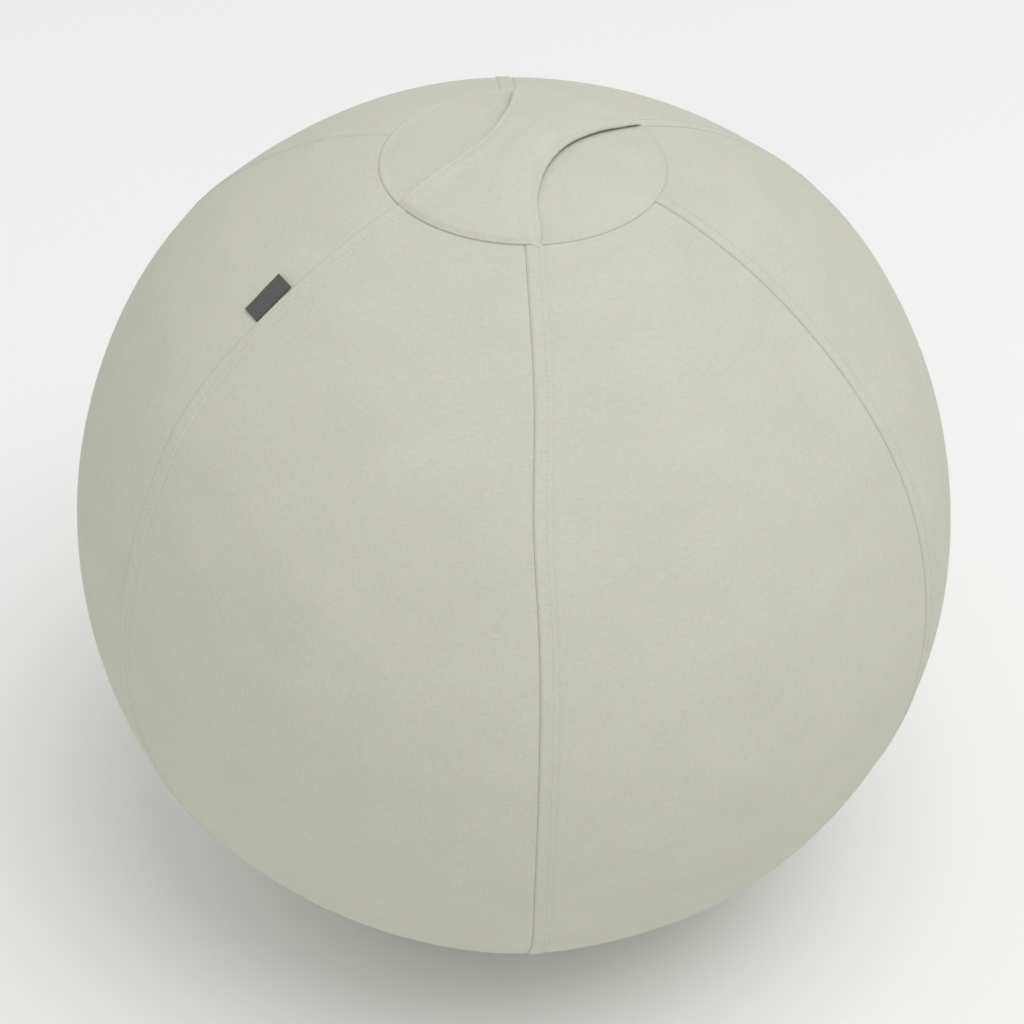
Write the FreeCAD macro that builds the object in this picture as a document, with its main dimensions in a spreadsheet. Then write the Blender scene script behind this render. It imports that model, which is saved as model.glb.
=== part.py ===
import FreeCAD, Part
import math
import os
import Sketcher
from FreeCAD import Placement, Rotation, Vector

# Balance ball chair: an air ball in a fitted cloth cover with a carrying handle.
# Millimetres, Z up. The origin is the middle of the base, on the floor.
# An azimuth is measured from the front (-Y) towards the right (+X).

SIZES = {
    # Meridian of the ball, over the cloth
    "half_width": 323.5,
    "crown_drop": 4.5,
    "foot_lift": 1.0,
    "shoulder_tuck": 33.5,
    "crown_spread": 35.5,
    # Cloth cover
    "cloth": 1.6,
    "seam_gap": 0.3,
    "soft_gap": 0.3,
    "cap_radius": 98.5,
    "felled_width": 10.0,
    "felled_lift": 0.9,
    # Carrying handle
    "handle_waist": 50.0,
    "handle_cloth": 3.0,
    "handle_gap": 7.0,
    "grip_length": 92.0,
    # Woven side label
    "label_length": 32.5,
    "label_width": 15.5,
    "label_cloth": 1.0,
    "label_lift": 0.6,
    "label_stand_off": 0.8,
    "label_latitude": 53.5,
    # Base
    "base_radius": 120.0,
    "pad_cloth": 3.0,
    # Weight ring
    "ring_inner_radius": 58.0,
    "ring_edge_gap": 8.0,
    "pouch_cloth": 0.8,
    "pouch_gap": 0.1,
    # Air ball and its valve
    "ball_wall": 1.0,
    "valve_azimuth": 150.0,
    "valve_slope": -45.0,
    "valve_radius": 8.0,
    "valve_flange_radius": 13.0,
    "valve_flange": 1.5,
    "valve_depth": 15.0,
    "valve_bore_radius": 3.6,
    "plug_head_radius": 6.5,
    "plug_head": 1.3,
    "plug_fit": 0.05,
    # Zip
    "zip_azimuth": 180.0,
    "zip_sweep": 216.0,
    "zip_from_foot": 46.0,
    "window_gap": 1.5,
    "tape_width": 14.0,
    "tape_cloth": 0.7,
    "tape_split": 2.8,
    "tape_overrun": 4.5,
    "tooth_pitch": 7.0,
    "tooth_width": 2.6,
    "tooth_reach": 1.2,
    "tooth_length": 5.4,
    "tooth_rise": 2.0,
    "stop_width": 2.4,
    # Zip slider and pull
    "slider_length": 12.0,
    "slider_plate": 1.2,
    "slider_gap": 0.5,
    "flange_wall": 0.8,
    "post_width": 1.6,
    "bail_radius": 0.8,
    "bail_span": 7.0,
    "bail_rise": 2.9,
    "pull_length": 19.0,
    "pull_width": 6.5,
    "pull_head_radius": 2.4,
    "pull_plate": 1.2,
    "pull_eye_radius": 1.3,
}

doc = FreeCAD.newDocument("balance_ball_chair")
sheet = doc.addObject("Spreadsheet::Sheet", "Sizes")
for row, (alias, value) in enumerate(SIZES.items(), start=1):
    sheet.set(f"A{row}", alias)
    sheet.set(f"B{row}", str(value))
    sheet.setAlias(f"B{row}", alias)
doc.recompute()


def size(alias):
    return float(sheet.get(alias))


# Sketch helpers: points are (across, up) pairs in the sketch's own plane


def segment(start, end):
    return Part.LineSegment(Vector(*start, 0), Vector(*end, 0))


def loop_of(points):
    return [segment(a, b) for a, b in zip(points, points[1:] + points[:1])]


def circle_arc(centre, radius, low, high):
    circle = Part.Circle(Vector(*centre, 0), Vector(0, 0, 1), radius)
    return Part.ArcOfCircle(circle, math.radians(low), math.radians(high))


def arc_through(start, middle, end):
    return Part.Arc(Vector(*start, 0), Vector(*middle, 0), Vector(*end, 0))


def polar(centre, radius, angle):
    turn = math.radians(angle)
    return (centre[0] + radius * math.cos(turn), centre[1] + radius * math.sin(turn))


def new_body(label):
    body = doc.addObject("PartDesign::Body", label)
    body.Label = label
    return body


def draw(body, role, name, outline):
    sketch = body.newObject("Sketcher::SketchObject", name)
    plane = next(o for o in body.Origin.OriginFeatures if o.Role == role)
    sketch.AttachmentSupport = [(plane, "")]
    sketch.MapMode = "FlatFace"
    for piece in outline:
        number = sketch.addGeometry(piece, False)
        sketch.addConstraint(Sketcher.Constraint("Block", number))
    return sketch


def draw_circle(body, role, name, radius_rule):
    sketch = draw(body, role, name, [])
    circle = Part.Circle(Vector(0, 0, 0), Vector(0, 0, 1), 1.0)
    number = sketch.addGeometry(circle, False)
    sketch.addConstraint(Sketcher.Constraint("Coincident", number, 3, -1, 1))
    radius = sketch.addConstraint(Sketcher.Constraint("Radius", number, 1.0))
    sketch.renameConstraint(radius, "radius")
    sketch.setExpression("Constraints.radius", radius_rule)
    return sketch


def revolve(body, sketch, name, angle_rule="360"):
    turned = body.newObject("PartDesign::Revolution", name)
    turned.Profile = sketch
    turned.ReferenceAxis = (sketch, ["V_Axis"])
    turned.Midplane = True
    turned.setExpression("Angle", angle_rule)
    doc.recompute()
    return turned


def groove(body, sketch, name):
    cut = body.newObject("PartDesign::Groove", name)
    cut.Profile = sketch
    cut.ReferenceAxis = (sketch, ["V_Axis"])
    cut.Angle = 360.0
    doc.recompute()
    return cut


def pad(body, sketch, name, length_rule, midplane=False):
    block = body.newObject("PartDesign::Pad", name)
    block.Profile = sketch
    block.Midplane = midplane
    block.setExpression("Length", length_rule)
    doc.recompute()
    return block


def pocket_through(body, sketch, name):
    before = body.Shape.Volume
    cut = body.newObject("PartDesign::Pocket", name)
    cut.Profile = sketch
    cut.Type = 1
    cut.Midplane = True
    doc.recompute()
    assert body.Shape.Volume < before, f"{name} cuts nothing"
    return cut


def turn_to(azimuth):
    return Placement(Vector(0, 0, 0), Rotation(Vector(0, 0, 1), azimuth - 90))


# Meridian of the cover: crown, shoulder, barrel, belly and foot arcs, each tangent to the next.
# A point on it is named by the slope of its outward normal: 90 at the top, 0 at the equator.

half_width = size("half_width")
shoulder_radius = half_width - size("shoulder_tuck")
crown_radius = half_width + size("crown_spread")
crown_rise = half_width - size("crown_drop")
middle = crown_rise + size("foot_lift")
crown_top = middle + crown_rise
barrel_centre = (0.0, middle)
crown_centre = (0.0, crown_top - crown_radius)
foot_centre = (0.0, 2 * middle - crown_centre[1])


def centre_of_shoulder():
    to_barrel = half_width - shoulder_radius
    to_crown = crown_radius - shoulder_radius
    span = barrel_centre[1] - crown_centre[1]
    rise = (to_crown**2 - to_barrel**2 - span**2) / (2 * span)
    return (math.sqrt(to_barrel**2 - rise**2), middle + rise)


def slope_between(low, high):
    return math.degrees(math.atan2(high[1] - low[1], high[0] - low[0]))


shoulder_centre = centre_of_shoulder()
belly_centre = (shoulder_centre[0], 2 * middle - shoulder_centre[1])
shoulder_slope = slope_between(barrel_centre, shoulder_centre)
crown_slope = slope_between(crown_centre, shoulder_centre)

ARCS = [
    (crown_centre, crown_radius, 90.0, crown_slope),
    (shoulder_centre, shoulder_radius, crown_slope, shoulder_slope),
    (barrel_centre, half_width, shoulder_slope, -shoulder_slope),
    (belly_centre, shoulder_radius, -shoulder_slope, -crown_slope),
    (foot_centre, crown_radius, -crown_slope, -90.0),
]


def meridian(inset, high, low):
    pieces = []
    for centre, radius, top, bottom in ARCS:
        start, end = min(high, top), max(low, bottom)
        if start > end:
            pieces.append(circle_arc(centre, radius - inset, end, start))
    return pieces


def meridian_point(slope, inset):
    for centre, radius, top, bottom in ARCS:
        if bottom <= slope <= top:
            return polar(centre, radius - inset, slope)


def slope_at(radius, inset):
    for centre, arc_radius, top, bottom in ARCS:
        reach = (radius - centre[0]) / (arc_radius - inset)
        slope = math.degrees(math.acos(min(reach, 1.0)))
        if bottom <= slope <= top:
            return slope


# The skirt is the cone that leaves the cover's curve and runs straight to the edge of the base

foot_edge = (size("base_radius"), size("pad_cloth") + size("seam_gap"))


def skirt_tangent():
    for centre, radius, top, bottom in ARCS:
        run = math.hypot(foot_edge[0] - centre[0], foot_edge[1] - centre[1])
        if run <= radius:
            continue
        slope = slope_between(centre, foot_edge) + math.degrees(math.acos(radius / run))
        if bottom <= slope <= top:
            return slope, math.sqrt(run**2 - radius**2)


skirt_slope, skirt_length = skirt_tangent()
skirt_out = polar((0, 0), 1.0, skirt_slope)
skirt_up = (-skirt_out[1], skirt_out[0])


def skirt_point(up, depth):
    return (
        foot_edge[0] + skirt_up[0] * up - skirt_out[0] * depth,
        foot_edge[1] + skirt_up[1] * up - skirt_out[1] * depth,
    )


cloth = size("cloth")
half_seam = size("seam_gap") / 2

# The slider clears the teeth, and the window between gores and skirt clears the slider
zip_centre = size("zip_from_foot")
tooth_root = size("tooth_length") - size("tooth_reach")
flange_in = tooth_root + size("slider_gap")
slider_half_width = flange_in + size("flange_wall")
half_window = slider_half_width + size("window_gap")
window_edge = zip_centre + half_window


def panel_section(outer_inset, inner_inset):
    start = size("cap_radius") + half_seam
    outer_slope = slope_at(start, outer_inset)
    inner_slope = slope_at(start, inner_inset)
    outer = meridian(outer_inset, outer_slope, skirt_slope)
    inner = meridian(inner_inset, inner_slope, skirt_slope)
    return (
        outer
        + [segment(skirt_point(skirt_length, outer_inset), skirt_point(window_edge, outer_inset))]
        + [segment(skirt_point(window_edge, outer_inset), skirt_point(window_edge, inner_inset))]
        + [segment(skirt_point(window_edge, inner_inset), skirt_point(skirt_length, inner_inset))]
        + inner
        + [segment(meridian_point(inner_slope, inner_inset), meridian_point(outer_slope, outer_inset))]
    )


# Cover panels: six gores, each with the folded seam allowance stitched down along one edge

PANEL_NAMES = [
    "gore_front",
    "gore_front_right",
    "gore_back_right",
    "gore_back",
    "gore_back_left",
    "gore_front_left",
]
panel_sweep = 360.0 / len(PANEL_NAMES)
seam_sweep = math.degrees(size("seam_gap") / half_width)

# The fold is swept a quarter wider than it gets, then trimmed along the seam and the stitching
fold_margin = 1.25
fold_sweep = 2 * fold_margin * math.degrees(math.asin(size("felled_width") / size("cap_radius")))


def cover_panel(label, azimuth):
    cloth_body = new_body(label + "_cloth")
    section = draw(cloth_body, "XZ_Plane", label + "_section", panel_section(0.0, cloth))
    revolve(cloth_body, section, label + "_sweep", str(panel_sweep - seam_sweep))

    fold_body = new_body(label + "_fold")
    raised = panel_section(-size("felled_lift"), cloth / 2)
    section = draw(fold_body, "XZ_Plane", label + "_fold_section", raised)
    revolve(fold_body, section, label + "_fold_sweep", str(fold_sweep))
    reach = 2 * half_width
    # In the fold's own frame the seam is the X axis and the panel lies on its +Y side
    beyond = [(0, half_seam), (reach, half_seam), (reach, -reach), (0, -reach)]
    inside = [
        (0, size("felled_width")),
        (reach, size("felled_width")),
        (reach, reach),
        (0, reach),
    ]
    for side, outline in (("seam", beyond), ("stitch", inside)):
        plan = draw(fold_body, "XY_Plane", f"{label}_{side}_plan", loop_of(outline))
        pocket_through(fold_body, plan, f"{label}_{side}_trim")
    fold_body.Placement = Placement(
        Vector(0, 0, 0), Rotation(Vector(0, 0, 1), -panel_sweep / 2)
    )

    panel = doc.addObject("Part::Fuse", label)
    panel.Base = cloth_body
    panel.Tool = fold_body
    panel.Label = label
    doc.recompute()
    panel.Placement = turn_to(azimuth)
    return panel


parts = [
    cover_panel(name, number * panel_sweep) for number, name in enumerate(PANEL_NAMES)
]


# Top cap: the round cloth panel that closes the gores and lies under the handle


def top_cap():
    body = new_body("top_cap")
    edge = size("cap_radius") - half_seam
    outer_slope = slope_at(edge, 0.0)
    inner_slope = slope_at(edge, cloth)
    outline = (
        meridian(0.0, 90.0, outer_slope)
        + [segment(meridian_point(outer_slope, 0.0), meridian_point(inner_slope, cloth))]
        + meridian(cloth, 90.0, inner_slope)
        + [segment(meridian_point(90.0, cloth), meridian_point(90.0, 0.0))]
    )
    revolve(body, draw(body, "XZ_Plane", "cap_section", outline), "cap_dome")
    return body


parts.append(top_cap())


# Handle: a padded band over the cap, one panel wide where it is sewn in and narrow in the middle

handle_edge = size("cap_radius") - half_seam
handle_foot_rise = meridian_point(slope_at(handle_edge, 0.0), 0.0)[1] + size("soft_gap")
handle_rise = crown_top + size("handle_gap")
handle_drop = handle_rise - handle_foot_rise
handle_radius = (handle_edge**2 + handle_drop**2) / (2 * handle_drop)
handle_centre = (0.0, handle_rise - handle_radius)


def hourglass_arc():
    corner = polar((0, 0), handle_edge, 90 - panel_sweep / 2)
    waist = size("handle_waist") / 2
    bulge = corner[0] - waist
    radius = (corner[1] ** 2 + bulge**2) / (2 * bulge)
    return waist, radius, corner


def handle_piece(label, near, far):
    body = new_body(label)
    waist, radius, corner = hourglass_arc()

    def edge_x(y):
        return waist + radius - math.sqrt(radius**2 - y**2)

    def edge_point(side, y):
        return (side * edge_x(y), y)

    between = (near + far) / 2
    right = arc_through(edge_point(1, near), edge_point(1, between), edge_point(1, far))
    left = arc_through(edge_point(-1, far), edge_point(-1, between), edge_point(-1, near))
    ends = []
    for y, sides in ((near, (-1, 1)), (far, (1, -1))):
        start, end = edge_point(sides[0], y), edge_point(sides[1], y)
        if abs(abs(y) - corner[1]) < 1e-6:
            ends.append(arc_through(start, (0, math.copysign(handle_edge, y)), end))
        else:
            ends.append(segment(start, end))
    plan = draw(body, "XY_Plane", label + "_plan", [ends[0], right, ends[1], left])
    pad(body, plan, label + "_block", "2 * Sizes.half_width + 4 * Sizes.handle_gap")

    ceiling = 3 * middle
    wide = 2 * handle_edge
    over_radius = handle_radius + size("handle_cloth")
    low_slope = math.degrees(math.acos(wide / over_radius))
    over = [
        circle_arc(handle_centre, over_radius, low_slope, 90),
        segment(polar(handle_centre, over_radius, 90), (0, ceiling)),
        segment((0, ceiling), (wide, ceiling)),
        segment((wide, ceiling), polar(handle_centre, over_radius, low_slope)),
    ]
    groove(body, draw(body, "XZ_Plane", label + "_over", over), label + "_top_trim")
    low_slope = math.degrees(math.acos(wide / handle_radius))
    under = [
        circle_arc(handle_centre, handle_radius, low_slope, 90),
        segment(polar(handle_centre, handle_radius, 90), (0, -middle)),
        segment((0, -middle), (wide, -middle)),
        segment((wide, -middle), polar(handle_centre, handle_radius, low_slope)),
    ]
    groove(body, draw(body, "XZ_Plane", label + "_under", under), label + "_under_trim")
    return body


grip_end = size("grip_length") / 2
wing_start = grip_end + half_seam
wing_end = hourglass_arc()[2][1]
parts.append(handle_piece("handle_front_wing", -wing_end, -wing_start))
parts.append(handle_piece("handle_grip", -grip_end, grip_end))
parts.append(handle_piece("handle_back_wing", wing_start, wing_end))


# Side label: a folded ribbon caught in the front left seam, lying on the left panel


def side_label():
    body = new_body("side_label")
    corners = [
        (-size("label_length") / 2, 0),
        (size("label_length") / 2, 0),
        (size("label_length") / 2, size("label_width")),
        (-size("label_length") / 2, size("label_width")),
    ]
    plan = draw(body, "XY_Plane", "label_plan", loop_of(corners))
    pad(body, plan, "label_ribbon", "Sizes.label_cloth")
    seam_azimuth = -panel_sweep / 2
    slope = size("label_latitude")
    radius, height = meridian_point(slope, 0.0)
    from_seam = size("label_stand_off") + size("label_width") / 2
    lean = math.degrees(from_seam / radius)
    facing = math.radians(seam_azimuth - lean - 90)
    tilt = math.radians(slope)
    outward = Vector(
        math.cos(tilt) * math.cos(facing), math.cos(tilt) * math.sin(facing), math.sin(tilt)
    )
    across = Vector(math.sin(facing), -math.cos(facing), 0)
    along = across.cross(outward)
    middle_point = Vector(radius * math.cos(facing), radius * math.sin(facing), height)
    base = middle_point - across * (size("label_width") / 2) + outward * size("label_lift")
    body.Placement = Placement(base, Rotation(along, across, outward, "ZXY"))
    return body


parts.append(side_label())


# Base: a non-slip disc on the floor and the skirt that joins it to the gores


def base_pad():
    body = new_body("base_pad")
    plan = draw_circle(body, "XY_Plane", "pad_plan", "Sizes.base_radius")
    pad(body, plan, "pad_disc", "Sizes.pad_cloth")
    return body


def base_skirt():
    body = new_body("base_skirt")
    top = zip_centre - half_window
    inner_start = cloth * skirt_out[1] / skirt_up[1]
    lower = [
        skirt_point(0, 0),
        skirt_point(top, 0),
        skirt_point(top, cloth),
        skirt_point(inner_start, cloth),
    ]
    revolve(body, draw(body, "XZ_Plane", "skirt_section", loop_of(lower)), "skirt_cone")
    bridge_end = window_edge - size("seam_gap")
    bridge = [
        skirt_point(top, 0),
        skirt_point(bridge_end, 0),
        skirt_point(bridge_end, cloth),
        skirt_point(top, cloth),
    ]
    section = draw(body, "XZ_Plane", "bridge_section", loop_of(bridge))
    sweep = "360 - Sizes.zip_sweep - 4 * Sizes.tape_overrun"
    revolve(body, section, "unzipped_part", sweep)
    body.Placement = turn_to(size("zip_azimuth") + 180)
    return body


parts.append(base_pad())
parts.append(base_skirt())


# Weight ring: a sewn pouch of sand that keeps the ball from rolling away

ring_floor = size("pad_cloth") + size("soft_gap")
ball_inset = cloth + size("soft_gap")


def foot_height(radius, drop):
    return foot_centre[1] - math.sqrt((crown_radius - ball_inset + drop) ** 2 - radius**2)


def ring_section(shrink):
    drop = size("soft_gap") + shrink
    inner = size("ring_inner_radius") + shrink
    outer = size("base_radius") - size("ring_edge_gap") - shrink
    floor = ring_floor + shrink
    inner_top = (inner, foot_height(inner, drop))
    outer_top = (outer, foot_height(outer, drop))
    return inner, outer, floor, inner_top, outer_top, drop


def foot_arc(drop, start, end):
    radius = crown_radius - ball_inset + drop
    low = slope_between(foot_centre, start)
    high = slope_between(foot_centre, end)
    return circle_arc(foot_centre, radius, low, high)


def weight_filling():
    body = new_body("weight_filling")
    shrink = size("pouch_cloth") + size("pouch_gap")
    inner, outer, floor, inner_top, outer_top, drop = ring_section(shrink)
    outline = [
        segment(inner_top, (inner, floor)),
        segment((inner, floor), (outer, floor)),
        segment((outer, floor), outer_top),
        foot_arc(drop, inner_top, outer_top),
    ]
    revolve(body, draw(body, "XZ_Plane", "sand_section", outline), "sand_ring")
    return body


def weight_pouch_bottom():
    body = new_body("weight_pouch_bottom")
    wall = size("pouch_cloth")
    inner, outer, floor, _, _, _ = ring_section(0.0)
    top = ring_section(wall + size("pouch_gap"))[4][1]
    outline = [
        (inner, floor),
        (outer, floor),
        (outer, top),
        (outer - wall, top),
        (outer - wall, floor + wall),
        (inner, floor + wall),
    ]
    revolve(body, draw(body, "XZ_Plane", "tray_section", loop_of(outline)), "tray_ring")
    return body


def weight_pouch_top():
    body = new_body("weight_pouch_top")
    wall = size("pouch_cloth")
    inner, outer, floor, inner_top, outer_top, drop = ring_section(0.0)
    under = drop + wall
    inner_under = (inner + wall, foot_height(inner + wall, under))
    outer_under = (outer, foot_height(outer, under))
    hem = floor + wall + size("pouch_gap")
    outline = [
        foot_arc(drop, inner_top, outer_top),
        segment(outer_top, outer_under),
        foot_arc(under, inner_under, outer_under),
        segment(inner_under, (inner + wall, hem)),
        segment((inner + wall, hem), (inner, hem)),
        segment((inner, hem), inner_top),
    ]
    revolve(body, draw(body, "XZ_Plane", "lid_section", outline), "lid_ring")
    return body


parts.append(weight_pouch_bottom())
parts.append(weight_pouch_top())
parts.append(weight_filling())


# Air ball, flattened where it stands on the base, with its valve

valve_slope = size("valve_slope")
valve_facing = size("valve_azimuth")


def valve_placement():
    radius, height = meridian_point(valve_slope, ball_inset)
    tilt = Rotation(Vector(0, 1, 0), 90 - valve_slope)
    turn = Rotation(Vector(0, 0, 1), valve_facing - 90)
    return Placement(turn.multVec(Vector(radius, 0, height)), turn.multiply(tilt))


def flat_slope(inset, height):
    return -math.degrees(math.asin((foot_centre[1] - height) / (crown_radius - inset)))


def inner_ball():
    body = new_body("inner_ball")
    inner_inset = ball_inset + size("ball_wall")
    outer_flat = ring_floor
    inner_flat = outer_flat + size("ball_wall")
    outer_slope = flat_slope(ball_inset, outer_flat)
    inner_slope = flat_slope(inner_inset, inner_flat)
    outline = (
        meridian(ball_inset, 90.0, outer_slope)
        + [segment(meridian_point(outer_slope, ball_inset), (0, outer_flat))]
        + [segment((0, outer_flat), (0, inner_flat))]
        + [segment((0, inner_flat), meridian_point(inner_slope, inner_inset))]
        + meridian(inner_inset, 90.0, inner_slope)
        + [segment(meridian_point(90.0, inner_inset), meridian_point(90.0, ball_inset))]
    )
    revolve(body, draw(body, "XZ_Plane", "ball_section", outline), "ball_shell")
    hole = doc.addObject("Part::Cylinder", "valve_hole")
    hole.setExpression("Radius", "Sizes.valve_radius")
    hole.setExpression("Height", "Sizes.valve_depth")
    place = valve_placement()
    lower = place.Rotation.multVec(Vector(0, 0, -size("valve_depth") / 2))
    hole.Placement = Placement(place.Base + lower, place.Rotation)
    ball = doc.addObject("Part::Cut", "inner_ball_with_hole")
    ball.Base = body
    ball.Tool = hole
    body.Label = "inner_ball_shell"
    ball.Label = "inner_ball"
    doc.recompute()
    return ball


def valve_seat():
    body = new_body("valve_seat")
    bore = size("valve_bore_radius")
    neck = bore + size("valve_flange")
    sleeve = size("valve_radius") - size("plug_fit")
    sag = size("valve_flange_radius") ** 2 / (2 * (shoulder_radius - ball_inset))
    under = -size("ball_wall") - sag - size("pouch_gap")
    recess = size("plug_head_radius") + size("plug_fit")
    recess_floor = -size("plug_head") - size("pouch_gap")
    flange_floor = under - size("valve_flange")
    top = -size("soft_gap") / 2
    outline = [
        (recess, top),
        (sleeve, top),
        (sleeve, under),
        (size("valve_flange_radius"), under),
        (size("valve_flange_radius"), flange_floor),
        (neck, flange_floor),
        (neck, -size("valve_depth")),
        (bore, -size("valve_depth")),
        (bore, recess_floor),
        (recess, recess_floor),
    ]
    revolve(body, draw(body, "XZ_Plane", "seat_section", loop_of(outline)), "seat_collar")
    body.Placement = valve_placement()
    return body


def valve_plug():
    body = new_body("valve_plug")
    stem = size("valve_bore_radius") - size("plug_fit")
    under = -size("plug_head") - size("pouch_gap") / 2
    top = under + size("plug_head") - size("pouch_gap")
    tip = -size("valve_depth") - size("plug_head")
    chamfer = stem / 3
    outline = [
        (0, top),
        (size("plug_head_radius"), top),
        (size("plug_head_radius"), under),
        (stem, under),
        (stem, tip + chamfer),
        (stem - chamfer, tip),
        (0, tip),
    ]
    revolve(body, draw(body, "XZ_Plane", "plug_section", loop_of(outline)), "plug_turned")
    body.Placement = valve_placement()
    return body


parts.append(inner_ball())
parts.append(valve_seat())
parts.append(valve_plug())


# Zip: two tapes under the edges of the window, interleaved teeth, stops, slider and pull.
# Depths are measured inwards from the outside of the skirt.

tape_face = cloth + size("pouch_gap")
tape_back = tape_face + size("tape_cloth")
tooth_face = tape_face - size("tooth_rise")
zip_radius = skirt_point(zip_centre, 0)[0]
pitch_sweep = math.degrees(size("tooth_pitch") / zip_radius)
tooth_count = int(size("zip_sweep") / pitch_sweep)
chain_sweep = (tooth_count - 0.5) * pitch_sweep


def zip_tape(label, side):
    body = new_body(label)
    edge = zip_centre + side * size("tape_split") / 2
    hem = edge + side * size("tape_width")
    corners = [
        skirt_point(edge, tape_face),
        skirt_point(hem, tape_face),
        skirt_point(hem, tape_back),
        skirt_point(edge, tape_back),
    ]
    section = draw(body, "XZ_Plane", label + "_section", loop_of(corners))
    revolve(body, section, label + "_band", "Sizes.zip_sweep + 2 * Sizes.tape_overrun")
    body.Placement = turn_to(size("zip_azimuth"))
    return body


def zip_teeth(label, side, first_turn):
    body = new_body(label)
    tip = zip_centre - side * size("tooth_reach")
    root = zip_centre + side * tooth_root
    corners = [
        skirt_point(tip, tooth_face),
        skirt_point(root, tooth_face),
        skirt_point(root, tape_face),
        skirt_point(tip, tape_face),
    ]
    section = draw(body, "XZ_Plane", label + "_section", loop_of(corners))
    tooth = pad(body, section, label + "_tooth", "Sizes.tooth_width", midplane=True)
    row = body.newObject("PartDesign::PolarPattern", label + "_row")
    row.Originals = [tooth]
    row.Axis = (next(o for o in body.Origin.OriginFeatures if o.Role == "Z_Axis"), [""])
    row.Angle = (tooth_count - 1) * pitch_sweep
    row.Occurrences = tooth_count
    body.Tip = row
    doc.recompute()
    body.Placement = turn_to(size("zip_azimuth") - chain_sweep / 2 + first_turn)
    return body


def slider_turn():
    return size("zip_azimuth") + chain_sweep / 2


def nose_sweep(distance):
    return math.degrees(distance / zip_radius)


def zip_stops():
    closed = slider_turn() + nose_sweep(
        size("slider_length") / 2 + size("soft_gap") + size("stop_width") / 2
    )
    opened = size("zip_azimuth") - chain_sweep / 2 - nose_sweep(
        size("tooth_width") / 2 + size("soft_gap") + size("stop_width")
    )
    inner = size("tape_split") / 2
    blocks = []
    rows = [
        (closed, inner, tooth_root),
        (closed, -tooth_root, -inner),
        (opened, -tooth_root, tooth_root),
    ]
    for number, (azimuth, low, high) in enumerate(rows):
        corners = [
            skirt_point(zip_centre + low, tooth_face),
            skirt_point(zip_centre + high, tooth_face),
            skirt_point(zip_centre + high, tape_face),
            skirt_point(zip_centre + low, tape_face),
        ]
        stop = new_body(f"zip_stop_{number}")
        section = draw(stop, "XZ_Plane", f"stop_section_{number}", loop_of(corners))
        pad(stop, section, f"stop_block_{number}", "Sizes.stop_width", midplane=True)
        stop.Placement = turn_to(azimuth)
        blocks.append(stop)
    group = doc.addObject("Part::Compound", "zip_stops")
    group.Links = blocks
    group.Label = "zip_stops"
    doc.recompute()
    return group


# The slider's own frame: X runs along the zip to its closed end, Y up the skirt, Z outwards


def slider_placement(azimuth):
    turn = Rotation(Vector(0, 0, 1), azimuth - 90)
    outward = Vector(skirt_out[0], 0, skirt_out[1])
    upward = Vector(skirt_up[0], 0, skirt_up[1])
    frame = Rotation(upward.cross(outward), upward, outward, "ZXY")
    foot = skirt_point(zip_centre, 0)
    return Placement(turn.multVec(Vector(foot[0], 0, foot[1])), turn.multiply(frame))


def box(name, low, high):
    block = doc.addObject("Part::Box", name)
    block.Length, block.Width, block.Height = (b - a for a, b in zip(low, high))
    block.Placement.Base = Vector(*low)
    return block


plate_low = -tooth_face + size("slider_gap")
plate_top = plate_low + size("slider_plate")
bail_axis = plate_top + size("bail_rise")


def zip_slider():
    long_half = size("slider_length") / 2
    wide_half = slider_half_width
    inner_top = -tape_back - size("slider_gap")
    inner_low = inner_top - size("slider_plate")
    flange_low = -tape_face + size("slider_gap")
    outer_plate = box(
        "slider_outer_plate", (-long_half, -wide_half, plate_low), (long_half, wide_half, plate_top)
    )
    inner_plate = box(
        "slider_inner_plate", (-long_half, -wide_half, inner_low), (long_half, wide_half, inner_top)
    )
    post_half = size("post_width") / 2
    post_back = long_half - 2 * size("post_width")
    post = box(
        "slider_post", (post_back, -post_half, inner_top), (long_half - post_half, post_half, plate_low)
    )
    pieces = [outer_plate, inner_plate, post]
    for side, low in (("upper", flange_in), ("lower", -wide_half)):
        pieces.append(
            box(
                f"slider_{side}_flange",
                (-long_half, low, flange_low),
                (long_half, low + size("flange_wall"), plate_low),
            )
        )
    bar = doc.addObject("Part::Cylinder", "slider_bail_bar")
    bar.setExpression("Radius", "Sizes.bail_radius")
    bar.setExpression("Height", "Sizes.bail_span")
    half_span = size("bail_span") / 2
    bar.Placement = Placement(Vector(-half_span, 0, bail_axis), Rotation(Vector(0, 1, 0), 90))
    pieces.append(bar)
    thick = 2 * size("bail_radius")
    for side, start in (("near", -half_span), ("far", half_span - thick)):
        pieces.append(
            box(
                f"slider_bail_{side}_leg",
                (start, -size("bail_radius"), plate_top),
                (start + thick, size("bail_radius"), bail_axis),
            )
        )
    joined = doc.addObject("Part::MultiFuse", "zip_slider_joined")
    joined.Shapes = pieces
    joined.Refine = True
    doc.recompute()
    joined.Label = "zip_slider"
    joined.Placement = slider_placement(slider_turn())
    return joined


def zip_pull():
    body = new_body("zip_pull")
    head = size("pull_head_radius")
    half = size("pull_width") / 2
    low = half - size("pull_length")
    outline = [
        circle_arc((0, 0), head, 0, 180),
        segment((-head, 0), (-half, low)),
        circle_arc((0, low), half, 180, 360),
        segment((half, low), (head, 0)),
    ]
    pad(body, draw(body, "XZ_Plane", "pull_plan", outline), "pull_tab", "Sizes.pull_plate", True)
    eye = draw_circle(body, "XZ_Plane", "pull_eye_plan", "Sizes.pull_eye_radius")
    pocket_through(body, eye, "pull_eye")
    place = slider_placement(slider_turn())
    hung = place.multVec(Vector(0, 0, bail_axis))
    body.Placement = Placement(hung, Rotation(Vector(0, 0, 1), slider_turn() - 90))
    return body


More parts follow.
